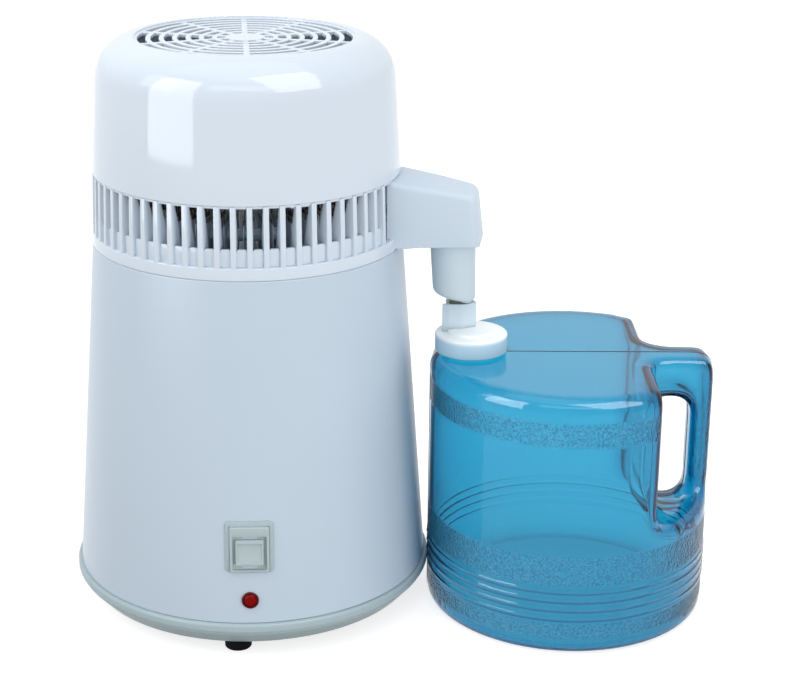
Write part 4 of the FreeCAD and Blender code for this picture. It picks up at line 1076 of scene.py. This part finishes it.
@dataclass
class Dome:
    """The dome with its ring grille."""

    top: float = 371.4
    draft: float = 3.55
    corner: float = 24.5
    wall: float = 2.5
    grille_radius: float = 68.5
    recess: float = 1.2
    bar_height: float = 2.4
    slot_first: float = 14.8
    slot_pitch: float = 8.2
    slot_width: float = 5.0
    slot_rings: int = 7
    spoke_count: int = 10
    spoke_width: float = 3.7
    grille_turn: float = 12.0
    boss_height: float = 13.0

    def build(self) -> None:
        """Build the dome and its grille."""
        reach = tan(radians(self.draft))
        outer_top = DOME_SEAM_RADIUS - reach * (self.top - DOME_SEAM)
        inner_top = outer_top - self.wall + reach * self.wall
        bar_top = self.top - self.recess
        bar_low = bar_top - self.bar_height
        rim = self.slot_first + self.slot_pitch * (self.slot_rings - 1) + self.slot_width / 2
        dome = Shape.spun([
            (DOME_SEAM_RADIUS - self.wall, DOME_SEAM + 0.05), (DOME_SEAM_RADIUS, DOME_SEAM + 0.05, 0.8),
            (outer_top, self.top, self.corner), (self.grille_radius, self.top, 0.6),
            (self.grille_radius, bar_top, 0.4), (rim, bar_top, 0.5), (rim, bar_low, 0.3),
            (rim + 4, bar_low, 1.0), (inner_top, self.top - self.wall, self.corner - self.wall),
        ], steps=256)
        dome.joined(self.grille(bar_low, bar_top), self.bosses())
        dome.finished("dome", "head", WHITE, "dome_cover")

    def grille(self, low: float, high: float) -> Shape:
        """Build the hub, the ring bars and the spokes.

        Args:
            low: Height of their underside.
            high: Height of their top.

        Returns:
            The grille.
        """
        hub = self.slot_first - self.slot_width / 2
        grille = Shape.spun([(0, low), (hub, low, 0.3), (hub, high, 0.5), (0, high)], closed=False)
        for index in range(self.slot_rings - 1):
            inner = self.slot_first + index * self.slot_pitch + self.slot_width / 2
            outer = inner + self.slot_pitch - self.slot_width
            grille.joined(Shape.spun([(inner, low, 0.3), (outer, low, 0.3), (outer, high, 0.5),
                                      (inner, high, 0.5)]))
        half = self.spoke_width / 2
        spoke = Shape.block((hub - 1, -half, low + 0.05), (self.grille_radius - 0.5, half, high - 0.06))
        spoke.softened(0.45, segments=2)
        return grille.joined(spoke.repeated(90 + self.grille_turn + index * 360 / self.spoke_count
                                            for index in range(self.spoke_count)))

    def bosses(self) -> Shape:
        """Return the three bosses inside that the head's screws reach."""
        low = DOME_SEAM + 2
        high = low + self.boss_height
        boss = Shape.spun([(2.0, low), (4.4, low), (4.4, high, 0.4), (2.0, high)], steps=32)
        tie = Shape.block((91.0, -1.5, low), (95.0, 1.5, high))
        return boss.moved(SCREW_CIRCLE).joined(tie).repeated(SCREW_TURNS)


@dataclass
class FilterCup:
    """The cup under the arm: a leaning cup with a slanted bottom and a short outlet."""

    radius: float = 14.5
    low_radius: float = 13.4
    wall: float = 1.5
    lean: float = 1.7
    depth: float = 40.0
    bottom: float = 38.8
    slope: float = 12.0
    turn: float = 8.0
    outlet_offset: float = 8.4
    outlet_radius: float = 3.6
    outlet_bore: float = 2.4
    outlet_depth: float = 41.1
    collar_inner: float = 11.2
    collar_radius: float = 12.5
    collar_high: float = 5.6

    def build(self) -> None:
        """Build the cup with its collar."""
        cup = self.body(0.0).combined(self.body(self.wall))
        low, high = ARM_LOW - self.outlet_depth, ARM_LOW - self.outlet_depth + 6
        outlet = Shape.spun([(self.outlet_bore, low, 0.3), (self.outlet_radius, low, 0.5),
                             (self.outlet_radius, high), (self.outlet_bore, high)], steps=48)
        outlet.moved(self.lean / 2 + self.outlet_offset)
        low, high = ARM_LOW - 2, ARM_LOW + self.collar_high
        collar = Shape.spun([(self.collar_inner, low), (self.collar_radius, low),
                             (self.collar_radius, high, 0.4), (self.collar_inner, high, 0.4)], steps=64)
        lug = Shape.block((11.6, -3.5, ARM_LOW + 2.65), (14.4, 3.5, ARM_LOW + 4.65)).softened(0.4, segments=2)
        cup.joined(outlet, collar, lug.repeated([90.0, 270.0])).turned(self.turn).moved(CUP_X)
        cup.finished("nozzle_cup", "cup", NOZZLE, "filter_cup")

    def body(self, inset: float) -> Shape:
        """Build the cup's form without its hollow.

        Args:
            inset: How far it is drawn inwards.

        Returns:
            The form.
        """
        top = ARM_LOW - inset
        low = ARM_LOW - self.depth - 6
        flare = (self.radius - self.low_radius) / self.depth
        form = Shape.spun([(0, low), (self.radius - inset - flare * (top - low), low),
                           (self.radius - inset, top, 0.5), (0, top)], closed=False, steps=96)
        for vert in form.bm.verts:
            vert.co.x += self.lean * (ARM_LOW - vert.co.z) / self.depth
        angle = radians(self.slope)
        form.cropped((self.lean + self.outlet_offset, 0, ARM_LOW - self.bottom + inset),
                     (-sin(angle), 0, -cos(angle)))
        return form.softened(3.2 - inset, segments=5, above=50, where=lambda middle: middle.z < ARM_LOW - 25)


@dataclass
class Sachet:
    """The pouch of charcoal in the cup: two crowned rounds of cloth sewn together at the rim."""

    x: float = 132.1
    y: float = 0.1
    low: float = 213.2
    height: float = 22.0
    radius: float = 11.0
    seam: float = 0.9
    pleats: int = 22
    pleat_depth: float = 0.35
    fill: float = 0.7

    def build(self) -> None:
        """Build the pouch, with the cloth drawn in along its sewn rim."""
        low, high = self.low, self.low + self.height
        middle = self.low + self.height / 2
        belly = self.radius - self.seam
        pouch = Shape.spun([
            (0, low), (belly * 0.7, low, 5), (belly, low + 6, 6), (belly, middle - 0.8, 0.5),
            (self.radius, middle - 0.4, 0.3), (self.radius, middle + 0.4, 0.3), (belly, middle + 0.8, 0.5),
            (belly, high - 6, 6), (belly * 0.7, high, 5), (0, high),
        ], closed=False, steps=132)
        for vert in pouch.bm.verts:
            reach = hypot(vert.co.x, vert.co.y)
            if reach < 1.0:
                continue
            share = 1 - abs(vert.co.z - middle) / self.height * 2
            fold = 0.5 + 0.5 * cos(self.pleats * atan2(vert.co.y, vert.co.x))
            drawn = 1 - self.pleat_depth * share * fold / reach
            vert.co.x *= drawn
            vert.co.y *= drawn
        pouch.moved(self.x, self.y)
        piece = pouch.finished("charcoal_pouch", "cup", CLOTH, "charcoal_sachet")


@dataclass
class Jug:
    """The hollow jug: a drum with a flat wall cut behind a moulded handle, and a neck."""

    radius: float = 91.4
    height: float = 171.0
    wall: float = 2.4
    foot_round: float = 7.0
    shoulder: float = 9.0
    turn: float = 7.4
    neck_reach: float = 65.4
    neck_radius: float = 20.0
    neck_top: float = 181.4
    bore_radius: float = 17.5
    flare: float = 25.4
    flare_drop: float = 6.0
    flat: float = 49.0
    ledge: float = 78.0
    far_ledge: float = 48.0
    ledge_round: float = 12.0
    blend: float = 10.0
    far_blend: float = 20.0
    handle_half: float = 15.0
    handle_inner: float = 77.5
    finger_low: float = 69.0
    finger_high: float = 144.5
    finger_round: float = 12.0
    bead_half: float = 1.5
    bead_proud: float = 0.6
    bead_gap: tuple[float, float] = (-67.5, -61.0)
    line_half: float = 0.7
    line_proud: float = 0.27
    outer_voxel: float = 1.75
    inner_voxel: float = 3.0
    skin_smooth: int = 4
    handle_smooth: int = 16
    scoop_smooth: int = 18

    def build(self) -> None:
        """Build the jug from an outer skin and an inner one."""
        angle = radians(self.turn)
        axis = (NECK_X + self.neck_reach * cos(angle), self.neck_reach * sin(angle))
        blue = JugFinish("blue_plastic", "blue_plastic", (0.42, 0.87, 0.94), roughness=0.03, grain_size=60.0,
                         transmission=1.0, ior=1.42, axis=axis, turn=self.turn)
        jug = self.skin(0.0, self.outer_voxel)
        self.soften_handle(jug, self.handle_smooth)
        self.raise_beads(jug)
        self.raise_line(jug)
        inner = self.skin(self.wall, self.inner_voxel)
        self.soften_handle(inner, self.handle_smooth // 2)
        bmesh.ops.reverse_faces(inner.bm, faces=inner.bm.faces)
        bore = Shape.rod(self.bore_radius, 158.0, 190.0, 64).moved(-self.neck_reach)
        jug.joined(inner).combined(bore).turned(self.turn).moved(*axis)
        jug.finished("jug", "jug", blue, "jug_body", "jug_shoulder", "jug_handle", smooth=60)

    def skin(self, inset: float, voxel: float) -> Shape:
        """Build the jug's form with an even skin.

        Args:
            inset: How far it is drawn inwards.
            voxel: Size of the skin's faces.

        Returns:
            The form.
        """
        radius, top = self.radius - inset, self.height - inset
        drum = Shape.spun([(0, inset), (radius, inset, self.foot_round - inset),
                           (radius, top, self.shoulder - inset), (0, top)], closed=False)
        side = self.beside_handle(inset, self.ledge, self.blend)
        back = self.beside_handle(inset, self.far_ledge, self.far_blend)
        bmesh.ops.scale(back.bm, verts=back.bm.verts, vec=(1, -1, 1))
        bmesh.ops.recalc_face_normals(back.bm, faces=back.bm.faces)
        drum.combined(side).combined(back).combined(self.fingers(inset))
        flare, neck = self.flare - inset, self.neck_radius - inset
        low, high = self.height - self.flare_drop, self.neck_top - inset / 2
        spun = Shape.spun([(0, low - 12), (flare, low - 12), (flare, low, 2.0), (neck, self.height + 1, 2.0),
                           (neck, high), (0, high)], closed=False, steps=96)
        drum.combined(spun.moved(-self.neck_reach), Cut.TOGETHER)
        return drum.remeshed(voxel).smoothed(self.skin_smooth)

    def soften_handle(self, skin: Shape, times: int) -> None:
        """Round the edges of the handle, the flat walls and the ledge.

        Args:
            skin: The skin, which changes.
            times: How often it is smoothed.
        """
        start = self.flat - 12
        verts = [vert for vert in skin.bm.verts
                 if vert.co.x > start and vert.co.z > (self.far_ledge if vert.co.y > 0 else self.ledge - 14)]
        scoop = [vert for vert in verts if vert.co.z < self.ledge + 12 and vert.co.y > -60]
        skin.smoothed(times, verts).smoothed(self.scoop_smooth, scoop)

    def raise_beads(self, skin: Shape) -> None:
        """Raise the beads round the foot, with their plain gap.

        Args:
            skin: The skin, which changes.
        """
        low, high = (radians(side) for side in self.bead_gap)
        for middle in BEADS:
            for share in (-1.0, -0.5, 0.0, 0.5, 1.0):
                self.score(skin, Vector((0, 0, middle + share * self.bead_half)), Vector((0, 0, 1)))
        for vert in skin.bm.verts:
            reach = hypot(vert.co.x, vert.co.y)
            if reach < self.radius - 1.5:
                continue
            near = min(abs(vert.co.z - middle) for middle in BEADS) / self.bead_half
            azimuth = atan2(vert.co.y, vert.co.x)
            edge = min(1.0, max(0.0, max(low - azimuth, azimuth - high) / 0.03))
            if near < 1 and edge > 0:
                grown = (reach + self.bead_proud * cos(near * pi / 2) * edge) / reach
                vert.co.x *= grown
                vert.co.y *= grown

    def raise_line(self, skin: Shape) -> None:
        """Raise the thin parting line along the plane of the handle.

        Args:
            skin: The skin, which changes.
        """
        skin.bm.normal_update()
        for share in (-1.0, -0.4, 0.4, 1.0):
            self.score(skin, Vector((0, share * self.line_half, 0)), Vector((0, 1, 0)))
        skin.bm.normal_update()
        raised = [(vert, vert.normal.copy()) for vert in skin.bm.verts
                  if abs(vert.co.y) < self.line_half * 0.5 and vert.co.z > 1.0]
        for vert, normal in raised:
            normal.y = 0
            vert.co += normal * self.line_proud

    @staticmethod
    def score(skin: Shape, point: Vector, normal: Vector) -> None:
        """Cut an edge loop into a skin, through the faces near a plane alone, which is fast.

        Args:
            skin: The skin, which changes.
            point: A point on the plane.
            normal: The plane's normal.
        """
        faces = [face for face in skin.bm.faces if abs((face.verts[0].co - point).dot(normal)) < 6]
        edges = {edge for face in faces for edge in face.edges}
        verts = {vert for face in faces for vert in face.verts}
        bmesh.ops.bisect_plane(skin.bm, geom=[*verts, *edges, *faces], dist=0.02, plane_co=point,
                               plane_no=normal)

    def beside_handle(self, inset: float, ledge: float, blend: float) -> Shape:
        """Build the space in front of the handle.

        Args:
            inset: How far it is grown.
            ledge: Height of the ledge that it stands on.
            blend: Radius between the flat wall and the handle.

        Returns:
            The space.
        """
        flat, side, low = self.flat - inset, self.handle_half - inset, ledge - inset
        far = self.radius + 12
        block = Shape.prism([(flat, -far), (far, -far), (far, -side), (flat, -side, blend + inset)],
                            low, self.height + 6)
        return block.softened(self.ledge_round + inset, segments=6, above=50, where=lambda middle: (
            middle.z < low + 0.1 and middle.y > 1 - far and middle.x < far - 1))

    def fingers(self, inset: float) -> Shape:
        """Build the space for the fingers through the handle.

        Args:
            inset: How far it is grown.

        Returns:
            The space.
        """
        low, high = self.finger_low - inset, self.finger_high + inset
        inner, outer = self.flat - inset, self.handle_inner + inset
        corners = ((inner, -high), (outer, -high), (outer, -low), (inner, -low))
        return Shape.prism([(*corner, self.finger_round) for corner in corners], -20, 40).turned(-90, Axis.X)


@dataclass
class Cap:
    """The screw cap with its raised pad, and the spout that stands in it."""

    radius: float = 23.3
    low: float = 172.6
    high: float = 184.4
    wall: float = 2.2
    top_wall: float = 2.0
    pinhole: float = 0.02
    pad_radius: float = 15.5
    pad_height: float = 2.1
    pad_turn: float = 36.3
    pad_offset: float = 4.8
    spout_x: float = -8.0
    spout_y: float = 2.5
    spout_turn: float = 6.7
    spout_lip: float = 2.3
    spout_wall: float = 1.2
    spout_gap: float = 0.15
    spout_high: float = 202.6
    liner_wall: float = 0.75
    liner_gap: float = 0.05

    def build(self) -> None:
        """Build the cap, its spout and the liner in the spout, a beige sheet that is painted shade on the
        spout's inner wall.
        """
        inner, under = self.radius - self.wall, self.high - self.top_wall
        cap = Shape.spun([(inner, self.low, 0.4), (self.radius, self.low, 0.6), (self.radius, self.high, 1.6),
                          (self.pinhole, self.high), (self.pinhole, under), (inner, under, 0.4)])
        cap.combined(self.pad(), Cut.TOGETHER).moved(NECK_X)
        cap.combined(self.spout(self.spout_gap, self.low, self.high + 20))
        cap.finished("cap", "cap", CAP_WHITE, "jug_cap")
        spout = self.tube(0.0, self.spout_wall, self.spout_high)
        spout.softened(0.35, segments=2, above=60, where=lambda middle: middle.z > self.spout_high - 0.2)
        spout.finished("spout", "cap", SPOUT_WHITE, "pour_tube")
        # The liner is a beige sheet: painted shade on the spout's inner wall.
        liner = self.tube(self.spout_wall + self.liner_gap, self.liner_wall, self.spout_high - 0.2)
        liner.finished("spout_liner", "cap", SPOUT_SHADE)

    def pad(self) -> Shape:
        """Return the raised pad: a disc with one straight side."""
        disc = Shape.rod(self.pad_radius, self.high - 1, self.high + self.pad_height, 96)
        disc.cropped((0, self.pad_offset, 0), (0, 1, 0))
        disc.softened(0.7, above=50, where=lambda middle: middle.z > self.high + 1)
        return disc.turned(self.pad_turn)

    def tube(self, inset: float, wall: float, high: float) -> Shape:
        """Build a tube of the spout's form.

        Args:
            inset: How far it is drawn inwards.
            wall: Its wall.
            high: Height of its top.

        Returns:
            The tube.
        """
        outer = self.spout(-inset, self.high - 2, high)
        return outer.combined(self.spout(-inset - wall, self.high - 4, self.spout_high + 4))

    def spout(self, wider: float, low: float, high: float) -> Shape:
        """Build a block of the spout's form.

        Args:
            wider: How much wider it is all round.
            low: Height of its bottom.
            high: Height of its top.

        Returns:
            The block.
        """
        left, right, front = -8.8 - wider, 11.2 + wider, -4.4 - wider
        tip = left - self.spout_lip
        plan = [(2.0, front, 8), (right, front + 5.2, max(0.3, 2 + wider)), (right - 2.0, 6.4 + wider, 2),
                (left, 8.6 + wider, 1.0)]
        plan += [(left, front, 1.0)] if wider < 0 else [
            (left, -1.8, 0.5), (tip, -2.0, 0.6), (tip, front + 1.2, 0.8), (left + 1.8, front, 2)]
        block = Shape.prism(plan, low, high)
        return block.turned(self.spout_turn).moved(NECK_X + self.spout_x, self.spout_y)


@dataclass(frozen=True)
class Lamp:
    """A soft rectangular lamp: its place, size in metres, watts, aim and the rays it is hidden from."""

    name: str
    place: Point
    size: tuple[float, float]
    power: float
    aim: Point = (0.1, 0.0, 0.2)
    hidden: tuple[str, ...] = ()

    def hang(self) -> None:
        """Hang the lamp."""
        light = bpy.data.lights.new(self.name, "AREA")
        light.shape = "RECTANGLE"
        light.size, light.size_y = self.size
        light.energy = self.power
        lamp = bpy.data.objects.new(self.name, light)
        bpy.context.scene.collection.objects.link(lamp)
        lamp.location = self.place
        lamp.rotation_euler = (Vector(self.aim) - lamp.location).to_track_quat("-Z", "Y").to_euler()
        for ray in ("camera", *self.hidden):
            setattr(lamp, "visible_" + ray, False)


@dataclass
class Studio:
    """The camera, the lamps and the floor."""

    eye: Point = (0.22963, -1.153044, 0.582066)
    right: Point = (0.99315, 0.11645, 0.00942)
    up: Point = (-0.04712, 0.32545, 0.94439)
    lens: float = 85.5
    room: float = 0.97
    floor_shade: float = 0.45
    floor_glow: float = 0.76
    lamps: tuple[Lamp, ...] = (
        Lamp("key", (-0.75, -0.45, 0.8), (0.5, 0.5), 2.6),
        Lamp("top", (0.0, -0.1, 1.5), (1.2, 1.2), 4.4),
        Lamp("fill", (0.75, -0.7, 0.1), (0.6, 0.15), 2.9, (0.08, -0.05, 0.12), ("glossy", "transmission")),
        Lamp("window", (-0.86, -0.86, 0.85), (0.8, 1.43), 27.0, (-0.02, -0.02, 0.85),
             ("diffuse", "transmission")),
        Lamp("second_window", (0.95, -0.72, 1.45), (1.1, 1.4), 36.0, (0.1, 0.0, 0.25),
             ("diffuse", "transmission")),
        Lamp("strip", (0.15, -1.35, 1.25), (1.2, 0.35), 4.0, (0.1, 0.0, 0.25), ("diffuse", "transmission")),
    )

    def build(self) -> None:
        """Place the camera, lay the floor and light the room."""
        self.place_camera()
        self.lay_floor()
        self.light_world()
        for lamp in self.lamps:
            lamp.hang()

    def place_camera(self) -> None:
        """Place the camera by its own axes."""
        camera = bpy.data.objects.new("camera", bpy.data.cameras.new("camera"))
        bpy.context.scene.collection.objects.link(camera)
        camera.data.lens = self.lens
        camera.data.sensor_width = 36.0
        right = Vector(self.right).normalized()
        up = (Vector(self.up) - right * right.dot(Vector(self.up))).normalized()
        turn = Matrix((right, up, right.cross(up))).transposed().to_4x4()
        camera.matrix_world = Matrix.Translation(self.eye) @ turn
        bpy.context.scene.camera = camera

    def lay_floor(self) -> None:
        """Lay a pale floor that keeps the shadow and is white where it is seen."""
        bm = bmesh.new()
        bmesh.ops.create_grid(bm, x_segments=1, y_segments=1, size=6.0)
        mesh = bpy.data.meshes.new("floor")
        bm.to_mesh(mesh)
        bm.free()
        floor = bpy.data.objects.new("floor", mesh)
        bpy.context.scene.collection.objects.link(floor)
        material = bpy.data.materials.new("floor_paint")
        material.use_nodes = True
        web = Web(material.node_tree)
        glow = web.math("MULTIPLY", self.seen(web), self.floor_glow)
        for name, value in (("Base Color", (self.floor_shade,) * 3), ("Roughness", 0.8),
                            ("Specular IOR Level", 0.0), ("Emission Color", (1, 1, 1)),
                            ("Emission Strength", glow)):
            web.feed(value, web.tree.nodes["Principled BSDF"].inputs[name])
        mesh.materials.append(material)

    def light_world(self) -> None:
        """Light the room evenly, and show it white where it is seen."""
        world = bpy.data.worlds.new("room")
        bpy.context.scene.world = world
        world.use_nodes = True
        web = Web(world.node_tree)
        background = web.tree.nodes["Background"]
        web.feed(web.ranged(self.seen(web), self.room, 1.0), background.inputs["Strength"])
        web.feed((1, 1, 1), background.inputs["Color"])

    @staticmethod
    def seen(web: Web) -> Socket:
        """Return 1 for rays of the camera and those that mirror or pass through, and 0 for others."""
        path = web.node("LightPath").outputs
        most = web.math("MAXIMUM", path["Is Camera Ray"], path["Is Glossy Ray"])
        return web.math("MAXIMUM", most, path["Is Transmission Ray"])


def main() -> None:
    """Build the object class by class, and the studio round it."""
    logging.basicConfig(level=logging.INFO, format="%(name)s: %(message)s")
    bpy.context.scene.view_settings.view_transform = "Standard"
    Studio().build()
    housing = Housing()
    for part in (housing, Controls(housing), HeadRing(), Dome(), FilterCup(), Sachet(), Jug(), Cap()):
        part.build()
    for name, finish in INSIDES.items():
        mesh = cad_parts[name].data
        mesh.materials.clear()
        mesh.materials.append(finish.material())


if __name__ == "__main__":
    main()
